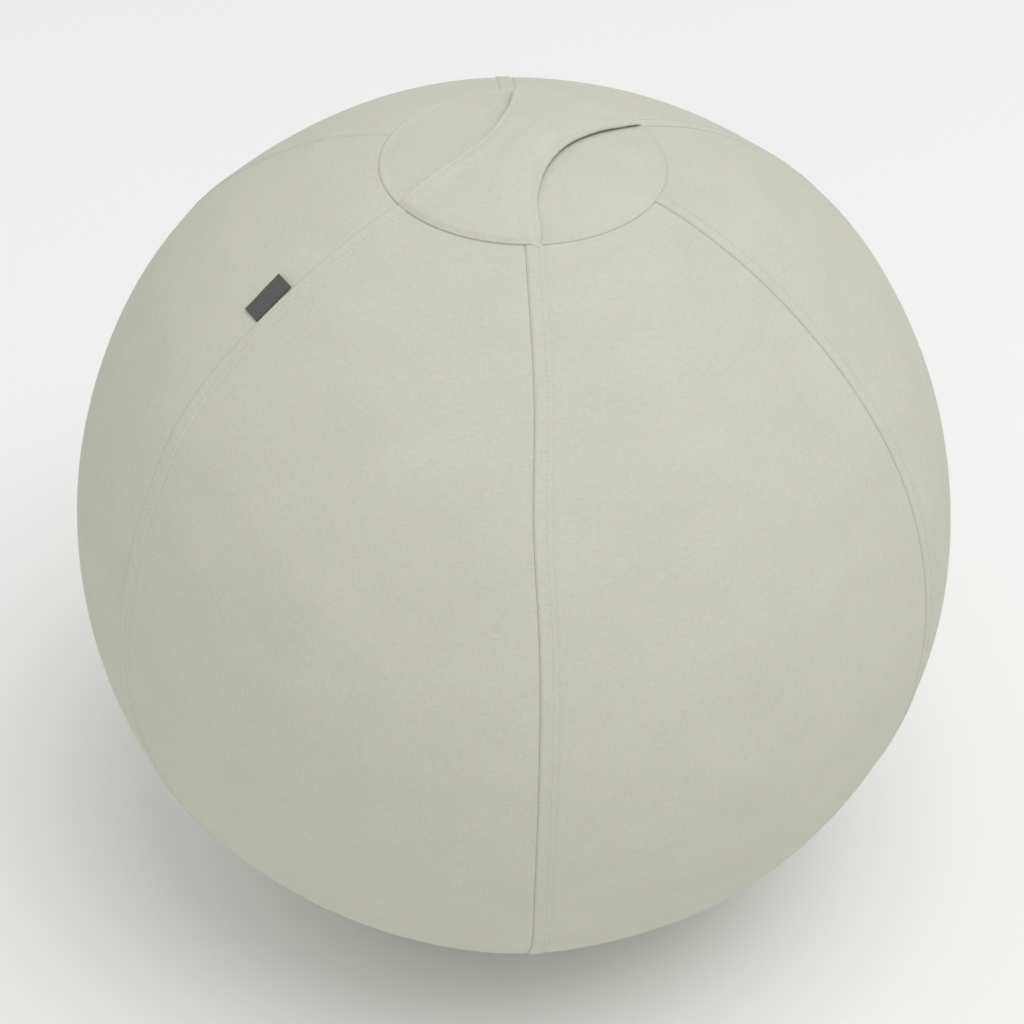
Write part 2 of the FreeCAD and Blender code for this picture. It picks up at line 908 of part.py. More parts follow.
parts.append(zip_tape("zip_tape_upper", 1))
parts.append(zip_tape("zip_tape_lower", -1))
parts.append(zip_teeth("zip_teeth_upper", 1, 0.0))
parts.append(zip_teeth("zip_teeth_lower", -1, pitch_sweep / 2))
parts.append(zip_stops())
parts.append(zip_slider())
parts.append(zip_pull())

# Every feature must be sound before anything is written
doc.recompute()
for feature in doc.Objects:
    bad = [state for state in feature.State if state in ("Invalid", "Error")]
    assert not bad, f"{feature.Label}: {bad}"
os.makedirs("parts", exist_ok=True)
for part in parts:
    shape = part.Shape
    assert not shape.isNull() and shape.isValid(), f"{part.Label} is not a sound shape"
    shape.exportStep(f"parts/{part.Label}.step")
    box_of = shape.BoundBox
    print(
        f"{part.Label}: {len(shape.Solids)} solids, {shape.Volume / 1000:.1f} cm3, "
        f"x {box_of.XMin:.1f} to {box_of.XMax:.1f}, y {box_of.YMin:.1f} to {box_of.YMax:.1f}, "
        f"z {box_of.ZMin:.1f} to {box_of.ZMax:.1f}"
    )
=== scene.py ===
# %% [markdown]
# # A balance ball chair, dressed for its picture
# The real thing is an air ball in a fitted woven cover. Six gores and a round cap make the
# cover, a wide handle lies over the cap, and a zip and a non-slip base are underneath.
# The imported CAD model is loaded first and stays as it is. It says where every piece goes,
# so each cloth piece below is built in the same metres and takes the place of its solid.

# %% Load the frame
import math

import bpy
import numpy as np
from mathutils import Matrix, Vector


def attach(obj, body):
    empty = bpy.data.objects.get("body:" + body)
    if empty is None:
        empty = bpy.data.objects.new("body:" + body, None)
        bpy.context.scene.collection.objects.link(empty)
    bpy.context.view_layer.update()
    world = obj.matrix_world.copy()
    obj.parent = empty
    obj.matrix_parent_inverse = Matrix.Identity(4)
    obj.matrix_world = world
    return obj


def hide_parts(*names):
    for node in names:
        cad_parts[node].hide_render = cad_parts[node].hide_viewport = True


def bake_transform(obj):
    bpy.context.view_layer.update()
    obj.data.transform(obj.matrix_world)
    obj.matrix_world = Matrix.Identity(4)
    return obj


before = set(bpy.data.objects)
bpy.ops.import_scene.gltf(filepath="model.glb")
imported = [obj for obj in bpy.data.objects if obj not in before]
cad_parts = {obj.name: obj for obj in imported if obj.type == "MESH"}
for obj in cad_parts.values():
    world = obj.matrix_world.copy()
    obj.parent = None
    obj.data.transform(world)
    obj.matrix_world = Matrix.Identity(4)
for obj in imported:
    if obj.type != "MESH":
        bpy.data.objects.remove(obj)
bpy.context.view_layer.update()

mm = 0.001

# %% [markdown]
# The picture was taken from the front right and above, with a long lens. The camera's place
# is written as a direction from the middle of the ball, a distance and a small tilt of the
# head, which is easier to reason about than a position and three angles.

# %% Camera
BALL_CENTRE = Vector((0, 0, 0.320))
camera_turn, camera_rise, camera_tilt = (math.radians(a) for a in (26.3, 39.0, 1.5))
to_camera = Vector((
    math.sin(camera_turn) * math.cos(camera_rise),
    -math.cos(camera_turn) * math.cos(camera_rise),
    math.sin(camera_rise),
))
level_right = Vector((math.cos(camera_turn), math.sin(camera_turn), 0))
level_up = to_camera.cross(level_right)
view_right = math.cos(camera_tilt) * level_right + math.sin(camera_tilt) * level_up
view_up = math.cos(camera_tilt) * level_up - math.sin(camera_tilt) * level_right

camera = bpy.data.objects.new("camera", bpy.data.cameras.new("camera"))
camera.data.lens = 99.07
camera.data.shift_x, camera.data.shift_y = -0.0018, 0.0004
axes = Matrix((view_right, view_up, to_camera)).transposed().to_4x4()
camera.matrix_world = Matrix.Translation(BALL_CENTRE + 2.1125 * to_camera) @ axes
bpy.context.scene.collection.objects.link(camera)
bpy.context.scene.camera = camera
print("camera", [round(x, 3) for x in camera.matrix_world.translation])

# %% [markdown]
# Shaders are graphs of nodes, and long graphs are hard to read. A Signal wraps one output
# socket and lets Python's own signs add the Math nodes, so that a pattern reads as a formula.
# Any other node comes from Finish.node, which takes its type, its settings and its inputs.

# %% Signals and finishes
class Signal:
    def __init__(self, finish, socket):
        self.finish, self.socket = finish, socket

    def maths(self, operation, first, second=0.0):
        return self.finish.node("ShaderNodeMath", {"operation": operation}, {0: first, 1: second})

    def __add__(self, other):
        return self.maths("ADD", self, other)

    def __radd__(self, other):
        return self.maths("ADD", other, self)

    def __sub__(self, other):
        return self.maths("SUBTRACT", self, other)

    def __rsub__(self, other):
        return self.maths("SUBTRACT", other, self)

    def __mul__(self, other):
        return self.maths("MULTIPLY", self, other)

    def __rmul__(self, other):
        return self.maths("MULTIPLY", other, self)

    def sine(self):
        return self.maths("SINE", self)


class Finish:
    def __init__(self, name):
        self.material = bpy.data.materials.new(name)
        self.material.use_nodes = True
        self.tree = self.material.node_tree
        self.surface = self.tree.nodes["Principled BSDF"]

    def node(self, kind, settings=None, values=None, output=0):
        made = self.tree.nodes.new(kind)
        for key, value in (settings or {}).items():
            if key == "stops":
                for number, (place, colour) in enumerate(value):
                    stops = made.color_ramp.elements
                    stop = stops[number] if number < len(stops) else stops.new(place)
                    stop.position, stop.color = place, colour
            else:
                setattr(made, key, value)
        self.fill(made, values or {})
        return Signal(self, made.outputs[output])

    def fill(self, made, values):
        for key, value in values.items():
            if isinstance(value, Signal):
                self.tree.links.new(value.socket, made.inputs[key])
            else:
                made.inputs[key].default_value = value

    def set(self, **values):
        self.fill(self.surface, {key.replace("_", " "): v for key, v in values.items()})
        return self.material


def linear(red, green, blue):
    def one(byte):
        share = byte / 255
        return share / 12.92 if share <= 0.04045 else ((share + 0.055) / 1.055) ** 2.4

    return (one(red), one(green), one(blue), 1.0)


def tinted(colour, factor):
    return tuple(channel * factor for channel in colour[:3]) + (1.0,)


# %% [markdown]
# The cover is a plain woven upholstery cloth in a heathered sage grey. Its threads are spun
# from lighter and darker fibres, so each thread has soft streaks along its own length. The
# pattern is laid out on the flat cloth: every cloth piece stores, point by point, where on
# its cut it lies, and the weave reads that place, so it bends and follows the piece.

# %% Woven cloth
def cloth_axes(finish):
    place = finish.node("ShaderNodeAttribute", {"attribute_name": "cloth_place"}, output=1)
    return place, *(
        finish.node("ShaderNodeSeparateXYZ", {}, {0: place}, output=axis) for axis in (0, 1)
    )


def stretched_noise(finish, place, scale, detail=2.0):
    spread = finish.node(
        "ShaderNodeVectorMath", {"operation": "MULTIPLY"}, {0: place, 1: Vector(scale)}
    )
    return finish.node(
        "ShaderNodeTexNoise", {}, {"Vector": spread, "Scale": 1.0, "Detail": detail}
    )


def mixed_colour(finish, share, low, high):
    return finish.node(
        "ShaderNodeMix", {"data_type": "RGBA"}, {0: share, 6: low, 7: high}, output=2
    )


def woven_cloth(name, colour, pitch=0.95 * mm, contrast=0.85, weave_depth=0.10 * mm):
    finish = Finish(name)
    place, across, along = cloth_axes(finish)
    weft = stretched_noise(finish, place, (90, 1500, 1))
    warp = stretched_noise(finish, place, (1400, 110, 1))
    fibres = stretched_noise(finish, place, (420, 420, 1), 3.0)
    clouds = stretched_noise(finish, place, (16, 22, 1), 1.0)
    heather = 0.34 * weft + 0.24 * warp + 0.26 * fibres + 0.16 * clouds
    share = finish.node("ShaderNodeMapRange", {}, {0: heather, 1: 0.40, 2: 0.60})
    dark, light = tinted(colour, 1 - 0.075 * contrast), tinted(colour, 1 + 0.06 * contrast)
    turn = 2 * math.pi / pitch
    over = (across * turn).sine()
    under = (along * turn).sine()
    thread_crowns = over * under
    relief = 0.5 + 0.30 * thread_crowns + 0.35 * (weft - 0.5) + 0.25 * (fibres - 0.5)
    bump = finish.node(
        "ShaderNodeBump", {}, {"Height": relief, "Distance": weave_depth, "Strength": 0.8}
    )
    return finish.set(
        Base_Color=mixed_colour(finish, share, dark, light),
        Roughness=0.90 + 0.06 * weft,
        Specular_IOR_Level=0.25,
        Normal=bump,
    )


SAGE = linear(202, 203, 189)
cover_finish = woven_cloth("cover_cloth", SAGE)
handle_finish = woven_cloth("handle_cloth", tinted(SAGE, 1.005))
lining_finish = woven_cloth("lining_cloth", linear(96, 97, 94), 0.7 * mm)
tape_finish = woven_cloth("zip_tape", linear(150, 152, 138), 0.8 * mm, 0.8, 0.15 * mm)


print("cloths", [m.name for m in bpy.data.materials if "cloth" in m.name])

# %% [markdown]
# Everything that isn't woven, such as thread, moulded plastic, cast zinc, rubber and sand, has
# a fine cloudy grain. One function makes them all: a noise between two near colours, which
# also varies the gloss and, where the surface is rough to the touch, raises a small bump.

# %% Grained finishes
def grainy(
    name, dark, light, scale, roughness, spread=0.1, depth=0.0, detail=2.0, **constants
):
    finish = Finish(name)
    place = finish.node("ShaderNodeTexCoord", output=3)
    grain = stretched_noise(finish, place, (scale,) * 3, detail)
    if depth:
        bump = finish.node("ShaderNodeBump", {}, {"Height": grain, "Distance": depth})
        constants["Normal"] = bump
    return finish.set(
        Base_Color=mixed_colour(finish, grain, dark, light),
        Roughness=roughness + spread * grain if spread else roughness,
        **constants,
    )


THREAD = linear(220, 221, 208)
thread_finish = grainy(
    "sewing_thread", tinted(THREAD, 0.90), tinted(THREAD, 1.05), 2500, 0.62,
    detail=1.0, Specular_IOR_Level=0.35,
)
base_finish = grainy(
    "base_cloth", linear(44, 45, 46), linear(56, 57, 58), 700, 0.62, 0.15, 0.05 * mm
)
teeth_finish = grainy("zip_teeth", linear(150, 152, 138), linear(166, 168, 154), 900, 0.38)
metal_finish = grainy(
    "zip_metal", linear(148, 150, 140), linear(164, 166, 156), 1200, 0.34, 0.12, Metallic=0.35
)
vinyl_finish = grainy("ball_vinyl", linear(146, 150, 152), linear(156, 160, 162), 25, 0.42)
print("finishes", len(bpy.data.materials))

# %% [markdown]
# The ball's outline is the CAD meridian: a flat crown, a shoulder, a round barrel and a
# belly that runs into the cone of the base skirt. It is kept as a table of radius, height
# and outward direction against the distance walked from the crown, which is also how a
# cutter would measure the gores.

# %% Meridian
CAP_RADIUS = 98.5 * mm
SEAM_HALF_GAP = 0.02 * mm
CLOTH = 1.6 * mm
ARCS = [
    ((0, 280), 359, 90, 71.620),
    ((21.747, 345.483), 290, 71.620, 49.530),
    ((0, 320), 323.5, 49.530, -49.530),
    ((21.747, 294.517), 290, -49.530, -52.015),
]
SKIRT_FOOT = (120 * mm, 3.3 * mm)


def meridian_table():
    rows = []
    for (centre, height), radius, high, low in ARCS:
        slopes = np.radians(np.linspace(high, low, 600))
        out, up = np.cos(slopes), np.sin(slopes)
        rows.append(np.c_[(centre + radius * out) * mm, (height + radius * up) * mm, out, up])
    last = rows[-1][-1]
    foot = np.array([*SKIRT_FOOT, last[2], last[3]])
    rows.append(np.linspace(last, foot, 200))
    table = np.vstack(rows)
    walked = np.r_[0, np.cumsum(np.hypot(np.diff(table[:, 0]), np.diff(table[:, 1])))]
    return walked, table


WALKED, MERIDIAN = meridian_table()


def meridian_at(walk):
    return [np.interp(walk, WALKED, MERIDIAN[:, column]) for column in range(4)]


cap_walk = float(np.interp(CAP_RADIUS, MERIDIAN[:1500, 0], WALKED[:1500]))
foot_walk = float(WALKED[-1])
gore_end_walk = foot_walk - 53 * mm
print("cap edge at", round(cap_walk, 4), "gore end at", round(gore_end_walk, 4))

# %% [markdown]
# Blown up, the cover isn't quite round. The seams pull tight and stand out like the ribs of
# a tent, and the gores between them lie a little flatter, so seen from above the ball is a
# soft hexagon. A few long, shallow waves keep the cloth from looking turned on a lathe.

# %% Shape of the blown-up cover
# Read off the photo's outline: how the swelling changes with the slope, in degrees and mm
SWELL_SLOPES = np.linspace(-60, 60, 241)
SWELL_MEAN = np.interp(
    SWELL_SLOPES,
    (-52, -46, -39, -33, -25, -15, 0, 15, 25, 33, 39, 46, 52),
    (-1.6, 0.3, 2.9, 2.9, 1.5, 0.8, 1.6, 1.9, 2.6, 3.2, 3.0, 1.0, 0),
)
SWELL_RIBS = np.interp(
    np.abs(SWELL_SLOPES), (0, 20, 33, 42, 50, 60), (1.7, 1.8, 1.9, 1.1, 0.3, 0)
)
# Two fuller places, as azimuth, slope, reach in degrees and height in mm
BULGES = [(150, 36, 16, 2.0), (72, -40, 14, 2.4)]
blur = np.hanning(23) / np.hanning(23).sum()
SWELL_MEAN, SWELL_RIBS = (
    np.convolve(np.pad(values, 11, mode="edge"), blur, mode="valid")
    for values in (SWELL_MEAN, SWELL_RIBS)
)
FIRST_SEAM = math.radians(30)
SEAM_STEP = math.radians(60)


def smooth(value, start, end):
    share = np.clip((value - start) / (end - start), 0, 1)
    return share * share * (3 - 2 * share)


def waves(places, wavelength, seed, count=14):
    """A smooth field from -1 to 1 over points in space: a sum of waves in random directions."""
    draw = np.random.default_rng(seed)
    ways = draw.normal(size=(count, 3))
    ways /= np.linalg.norm(ways, axis=1)[:, None]
    lengths = wavelength * draw.uniform(0.7, 1.5, count)
    phases = draw.uniform(0, 2 * math.pi, count)
    turns = places @ (ways / lengths[:, None]).T * 2 * math.pi + phases
    return np.sin(turns).sum(-1) / math.sqrt(count)


def round_point(azimuth, walk, lift):
    radius, height, out, up = meridian_at(walk)
    reach = radius + lift * out
    return np.stack(
        [reach * np.sin(azimuth), -reach * np.cos(azimuth), height + lift * up], axis=-1
    )


def seam_sway(walk):
    """Sewn seams wander: how far one lies from its meridian, as an angle."""
    above = -4.0 * mm * np.exp(-(((walk - 0.295) / 0.062) ** 2))
    below = 2.5 * mm * np.exp(-(((walk - 0.68) / 0.08) ** 2))
    return (above + below) / meridian_at(walk)[0]


def fullness(azimuth, walk):
    """How far the blown-up cloth stands off the round CAD ball."""
    _, _, out, up = meridian_at(walk)
    slope = np.degrees(np.arctan2(up, out))
    swell = np.interp(slope, SWELL_SLOPES, SWELL_MEAN) * mm
    ribs = np.interp(slope, SWELL_SLOPES, SWELL_RIBS) * mm
    turn = 6 * (azimuth - seam_sway(walk) - FIRST_SEAM)
    corners = 0.86 * np.cos(turn) + 0.14 * np.cos(2 * turn)
    inside = smooth(walk, cap_walk, cap_walk + 60 * mm)
    inside *= 1 - smooth(walk, gore_end_walk - 60 * mm, gore_end_walk)
    sway = 0.5 * mm * waves(round_point(azimuth, walk, 0 * walk), 190 * mm, 5)
    for bulge_azimuth, bulge_slope, reach, height in BULGES:
        aside = (np.degrees(azimuth) - bulge_azimuth + 180) % 360 - 180
        distance = np.hypot(aside * out, slope - bulge_slope)
        sway = sway + height * mm * np.exp(-((distance / reach) ** 2))
    return inside * (swell + ribs * corners + sway)


# %% [markdown]
# Each gore seam is sewn, folded to one side and stitched down. Along the seam that makes a
# narrow ditch, beside it a rounded edge, then a raised strip about 11 mm wide that carries
# a line of stitches, and a soft step where the folded cloth underneath ends. These forms
# are a few tenths of a millimetre high, so the gore's mesh is fine there and coarse between.

# %% Cross-section of a seam
STRIP_WIDTH = 11.2 * mm
STITCH_LINE = 8.9 * mm
STITCH_PITCH = 3.6 * mm


def strip_lift(from_seam, walk):
    """The stitched-down side of a seam."""
    raised = 0.60 * mm * smooth(from_seam, -0.2 * mm, 1.7 * mm)
    raised += 0.10 * mm * np.exp(-(((from_seam - 2.2 * mm) / (1.0 * mm)) ** 2))
    raised *= 1 - smooth(from_seam, STRIP_WIDTH - 0.6 * mm, STRIP_WIDTH + 0.6 * mm)
    furrow = 0.06 * mm * np.exp(-(((from_seam - STITCH_LINE) / (0.8 * mm)) ** 2))
    furrow += 0.30 * mm * np.exp(-(((from_seam - STRIP_WIDTH - 0.5 * mm) / (0.8 * mm)) ** 2))
    ditch = 0.43 * mm * np.exp(-((from_seam / (0.75 * mm)) ** 2))
    tucks = 0.07 * mm * np.sin(2 * math.pi * walk / STITCH_PITCH)
    at_edge = np.exp(-(((from_seam - 1.6 * mm) / (1.0 * mm)) ** 2))
    puckers = 0.11 * mm * np.sin(walk / (2.6 * mm) + 1.9 * np.sin(walk / (31 * mm)))
    across = np.exp(-(((from_seam - 6 * mm) / (4.0 * mm)) ** 2))
    return raised - furrow - ditch + tucks * at_edge + puckers * across


def plain_lift(from_seam, walk):
    """The other side, which slips under the rounded edge."""
    ditch = 0.43 * mm * np.exp(-((from_seam / (0.8 * mm)) ** 2))
    hollow = 0.16 * mm * np.exp(-from_seam / (6 * mm))
    tucks = 0.05 * mm * np.sin(2 * math.pi * walk / STITCH_PITCH)
    return tucks * np.exp(-((from_seam / (3 * mm)) ** 2)) - ditch - hollow


def edge_lift(walk):
    """Where the gore ends: it dives into the cap seam above and has a stitched hem below."""
    from_cap = walk - cap_walk
    from_hem = gore_end_walk - walk
    cap_ditch = 0.32 * mm * np.exp(-((from_cap / (0.9 * mm)) ** 2))
    cap_ditch = np.where(from_cap < -0.5 * mm, 2.1 * mm, cap_ditch)
    cap_hollow = 0.25 * mm * np.exp(-from_cap / (6 * mm))
    furrow = 0.35 * mm * np.exp(-(((from_hem - 3 * mm) / (0.8 * mm)) ** 2))
    return -cap_ditch - cap_hollow - furrow


def gore_lift(from_left, from_right, azimuth, walk):
    return (
        fullness(azimuth, walk)
        + strip_lift(from_left, walk)
        + plain_lift(from_right, walk)
        + edge_lift(walk)
    )


# %% [markdown]
# A mesh helper takes points and faces as arrays, which is fast enough for the thousands of
# points that such fine seams need. Cloth gets its thickness from a Solidify modifier. The
# last helper dresses the model: it ties a piece to the CAD body that it moves with and hides
# the solids that it stands for.

# %% Mesh helpers
def grid_faces(rows, columns, round_and_round=False):
    last = columns if round_and_round else columns - 1
    row, column = np.meshgrid(np.arange(rows - 1), np.arange(last), indexing="ij")
    here = row * columns + column
    beside = row * columns + (column + 1) % columns
    return np.stack([here, here + columns, beside + columns, beside], -1).reshape(-1, 4)


def new_piece(name, points, faces, material, place=None):
    mesh = bpy.data.meshes.new(name)
    mesh.from_pydata(np.asarray(points).reshape(-1, 3).tolist(), [], [list(f) for f in faces])
    mesh.shade_smooth()
    if place is not None:
        attribute = mesh.attributes.new("cloth_place", "FLOAT_VECTOR", "POINT")
        flat = np.zeros((len(mesh.vertices), 3))
        flat[:, : place.shape[-1]] = place.reshape(-1, place.shape[-1])
        attribute.data.foreach_set("vector", flat.ravel())
    mesh.materials.append(material)
    piece = bpy.data.objects.new(name, mesh)
    bpy.context.scene.collection.objects.link(piece)
    return piece


def thicken(piece, thickness):
    solid = piece.modifiers.new("cloth thickness", "SOLIDIFY")
    solid.thickness, solid.offset = thickness, -1
    return piece


def surface_area(piece):
    return sum(polygon.area for polygon in piece.data.polygons)


def round_turn(count):
    return np.linspace(0, 2 * math.pi, count + 1)[:-1]


def fan(hub, start, count, way=1):
    """Triangles from a middle point to a ring of points, turned over where way is -1."""
    return [(hub, start + k, start + (k + 1) % count)[::way] for k in range(count)]


def dress(piece, body, slot, *solids):
    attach(piece, body)
    if solids:
        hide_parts(*solids)
    return piece


# %% [markdown]
# The six gores come next, each a sheet of its own in the place of its solid. Columns keep
# a fixed distance from the seams, so the strip is as wide at the cap as at the equator, and
# only the middle of the gore gets wider and narrower.

# %% Gores
GORES = [
    "gore_front",
    "gore_front_right",
    "gore_back_right",
    "gore_back",
    "gore_back_left",
    "gore_front_left",
]
# How far each seam's upper end was sewn off its meridian, by its left gore
SEAM_START_SHIFTS = {"gore_front_left": -1.5, "gore_front": -3.6, "gore_front_right": 2.4}


def seam_start_shift(left_gore, walk):
    shift = SEAM_START_SHIFTS.get(left_gore, 0) * mm
    reach = 55 * mm if left_gore == "gore_front_left" else 110 * mm
    return shift * np.exp(-(((walk - cap_walk) / reach) ** 2)) / meridian_at(walk)[0]


left_columns = mm * np.array(
    [0, 0.3, 0.6, 0.95, 1.4, 1.9, 2.5, 3.4, 4.8, 6.4, 7.8, 8.4, 8.9, 9.4, 10]
    + [10.5, 10.9, 11.3, 11.7, 12.1, 12.7, 14.0, 16.8, 20.5, 25.5]
)
right_columns = mm * np.array([15, 10.5, 7.5, 5.2, 3.6, 2.4, 1.5, 0.9, 0.4, 0])
middle_shares = np.linspace(0, 1, 28)[1:-1]
gore_rows = np.r_[
    cap_walk + mm * np.array([-1.2, -0.1, 0.15, 0.6, 1.2, 2, 3, 4.5, 6.5, 9]),
    np.linspace(cap_walk + 9.9 * mm, gore_end_walk - 8 * mm, 812),
    gore_end_walk - mm * np.array([6, 4.6, 3.8, 3, 2.2, 1.2, 0]),
]


def gore(name, middle_azimuth):
    radius = meridian_at(gore_rows)[0][:, None]
    width = radius * SEAM_STEP - 2 * SEAM_HALF_GAP
    left = left_columns[None, :] + 0 * radius
    right = width - right_columns[None, :]
    middle = left[:, -1:] + middle_shares[None, :] * (right[:, :1] - left[:, -1:])
    from_left = np.hstack([left, middle, right])
    walk = gore_rows[:, None] + 0 * from_left
    azimuth = middle_azimuth - SEAM_STEP / 2 + (from_left + SEAM_HALF_GAP) / radius
    azimuth = azimuth + seam_sway(walk)
    lift = gore_lift(from_left, width - from_left, azimuth, walk)
    share = from_left / width
    azimuth = azimuth + (1 - share) * seam_start_shift(GORES[GORES.index(name) - 1], walk)
    azimuth = azimuth + share * seam_start_shift(name, walk)
    points = round_point(azimuth, walk, lift)
    place = np.stack([from_left - width / 2 + 2 * middle_azimuth, walk], -1)
    faces = grid_faces(*from_left.shape)
    piece = thicken(new_piece(name + "_cloth", points, faces, cover_finish, place), CLOTH)
    return dress(piece, "root", "cover_cloth", name)


gores = [gore(name, number * SEAM_STEP) for number, name in enumerate(GORES)]

# %% [markdown]
# Stitches are real threads that bite into the cloth, so each is a small capsule laid along
# its line, a little sunk at both ends. One function sets a whole row: it takes the line and
# the outward direction at each of its points, and spaces the stitches evenly.

# %% Stitches
def capsule():
    """One stitch, 2 long and 2 thick, which dives into the cloth at both ends."""
    sides = 6
    points = [(-1, 0, -0.5)]
    for along, fat, sink in ((-0.72, 0.8, -0.1), (0, 1, 0.25), (0.72, 0.8, -0.1)):
        for turn in round_turn(sides):
            points.append((along, fat * math.cos(turn), fat * math.sin(turn) + sink))
    points.append((1, 0, -0.5))
    rings = grid_faces(3, sides, round_and_round=True)[:, ::-1] + 1
    faces = fan(0, 1, sides, -1) + [tuple(f) for f in rings]
    faces += fan(len(points) - 1, 1 + 2 * sides, sides)
    return np.array(points, float), faces


CAPSULE, CAPSULE_FACES = capsule()


def stitch_row(line, outward, length=2.8 * mm, half_thick=0.27 * mm):
    walked = np.r_[0, np.cumsum(np.linalg.norm(np.diff(line, axis=0), axis=1))]
    count = int(walked[-1] / STITCH_PITCH)
    middles = (np.arange(count) + 0.5) * walked[-1] / count

    def along_line(values, at):
        return np.stack([np.interp(at, walked, values[:, k]) for k in range(3)], -1)

    centre = along_line(line, middles)
    along = along_line(line, middles + 0.4 * mm) - along_line(line, middles - 0.4 * mm)
    along /= np.linalg.norm(along, axis=1)[:, None]
    out = along_line(outward, middles)
    aside = np.cross(out, along)
    aside /= np.linalg.norm(aside, axis=1)[:, None]
    out = np.cross(along, aside)
    local = CAPSULE * (length / 2, half_thick, half_thick)
    points = (
        centre[:, None]
        + local[None, :, :1] * along[:, None]
        + local[None, :, 1:2] * aside[:, None]
        + local[None, :, 2:] * out[:, None]
    )
    return points.reshape(-1, 3)


def stitch_faces(points):
    return [
        tuple(corner + start for corner in face)
        for start in range(0, len(points), len(CAPSULE))
        for face in CAPSULE_FACES
    ]


def outward_at(azimuth, walk):
    _, _, out, up = meridian_at(walk)
    return np.stack([out * np.sin(azimuth), -out * np.cos(azimuth), up], -1)


def seam_stitches(name, middle_azimuth):
    walk = np.linspace(cap_walk + 3 * mm, gore_end_walk - 4 * mm, 500)
    radius = meridian_at(walk)[0]
    azimuth = middle_azimuth - SEAM_STEP / 2 + (STITCH_LINE + SEAM_HALF_GAP) / radius
    azimuth = azimuth + seam_sway(walk)
    width = radius * SEAM_STEP
    lift = gore_lift(0 * walk + STITCH_LINE, width - STITCH_LINE, azimuth, walk) + 0.18 * mm
    azimuth = azimuth + seam_start_shift(GORES[GORES.index(name) - 1], walk)
    points = stitch_row(round_point(azimuth, walk, lift), outward_at(azimuth, walk))
    piece = new_piece(name + "_stitches", points, stitch_faces(points), thread_finish)
    return dress(piece, "root", "cover_cloth")


stitched = [seam_stitches(name, number * SEAM_STEP) for number, name in enumerate(GORES)]
print("stitches on a seam", len(stitched[0].data.vertices) // len(CAPSULE))

# %% [markdown]
# The cap is one round panel. Its rim is turned under and sewn to the gores, so it ends in a
# small rounded roll that stands just above them. Rings of points get closer towards the rim.

# %% Top cap
CROWN_CENTRE, CROWN_RADIUS = 280 * mm, 359 * mm


def crown_height(distance):
    return CROWN_CENTRE + np.sqrt(CROWN_RADIUS**2 - distance**2)


def under_band_fade(places):
    """1 where the cap's rim is bare and 0 where the handle's end covers it."""
    turn = np.degrees(np.arctan2(places[..., 0], np.abs(places[..., 1])))
    return smooth(np.abs(turn), 27, 31)


def cap_lift(distance, places):
    from_rim = CAP_RADIUS - distance
    roll = 0.50 * mm * np.exp(-(((from_rim - 1.9 * mm) / (1.4 * mm)) ** 2))
    roll = roll * under_band_fade(places)
    ditch = 0.30 * mm * np.exp(-((from_rim / (0.7 * mm)) ** 2))
    hollow = 0.2 * mm * np.exp(-(((from_rim - 8 * mm) / (3.5 * mm)) ** 2))
    sway = 0.35 * mm * waves(places, 80 * mm, 11) * smooth(from_rim, 0, 25 * mm)
    return roll - ditch - hollow + sway


def top_cap():
    near_rim = [86.5, 88.7, 90.6, 92.2, 93.5, 94.6, 95.5, 96.3, 97, 97.6, 98, 98.45]
    rings = mm * np.r_[np.linspace(0.5, 84, 26), near_rim]
    turn = round_turn(180)
    distance, angle = np.meshgrid(rings, turn, indexing="ij")
    flat = np.stack([distance * np.cos(angle), distance * np.sin(angle)], -1)
    places = np.concatenate([flat, crown_height(distance)[..., None]], -1)
    height = crown_height(distance) + cap_lift(distance, places)
    points = np.concatenate([flat, height[..., None]], -1).reshape(-1, 3)
    middle = np.array([[0, 0, points[: len(turn), 2].mean()]])
    faces = [tuple(f) for f in grid_faces(*distance.shape, round_and_round=True)]
    faces += fan(len(points), 0, len(turn))
    place = np.vstack([flat.reshape(-1, 2), [[0, 0]]])
    piece = new_piece("top_cap_cloth", np.vstack([points, middle]), faces, cover_finish, place)
    dress(thicken(piece, CLOTH), "root", "cover_cloth", "top_cap")
    return piece


cap = top_cap()
print("cap area", round(surface_area(cap), 4))

# %% [markdown]
# The carrying handle is one doubled band, hemmed along both edges. It is as wide as a gore
# where its ends are caught in the cap seam and has a narrow waist for the hand, and it stands
# a finger's width off the cap. A hand pulls its middle up while the ends stay sewn down, so
# it is built as a front and a back half that meet at the waist, and both share their points
# and shading at the waist.

# %% Handle band
BAND_CENTRE, BAND_RADIUS = 399.106 * mm, 246.894 * mm
SEWN_END = 85.2 * mm
HEM = 11 * mm
BAND_STITCH = 3.8 * mm


def half_width(y):
    """Half the band's width, fitted to the photo's waist, flare and sewn ends."""
    far = np.abs(y) / mm
    return (25 + 0.00523 * far**2 - 2.52e-7 * far**4) * mm


def front_flare(y):
    """At the front the band's right edge was sewn in past the seam."""
    return 6.5 * mm * smooth(-y, 40 * mm, 88 * mm)


def band_under(x, y):
    return BAND_CENTRE + np.sqrt(BAND_RADIUS**2 - x**2 - y**2)


print("finger gap", round(float(band_under(0, 0) - crown_height(0)), 4))

# %% [markdown]
# The band's two faces are height fields over its plan. They meet at a rounded edge, thicken
# over the hem, sink along the line of stitches, sag between the hems and droop towards the
# cap. Each of these is one term below, in the order in which a sewer would do them.

# %% Handle faces
def edge_share(from_edge):
    """Rises from 0 to 1 over the rounded edge of the folded cloth."""
    near = np.clip(1 - from_edge / (1.5 * mm), 0, 1)
    return np.sqrt(1 - near**2)


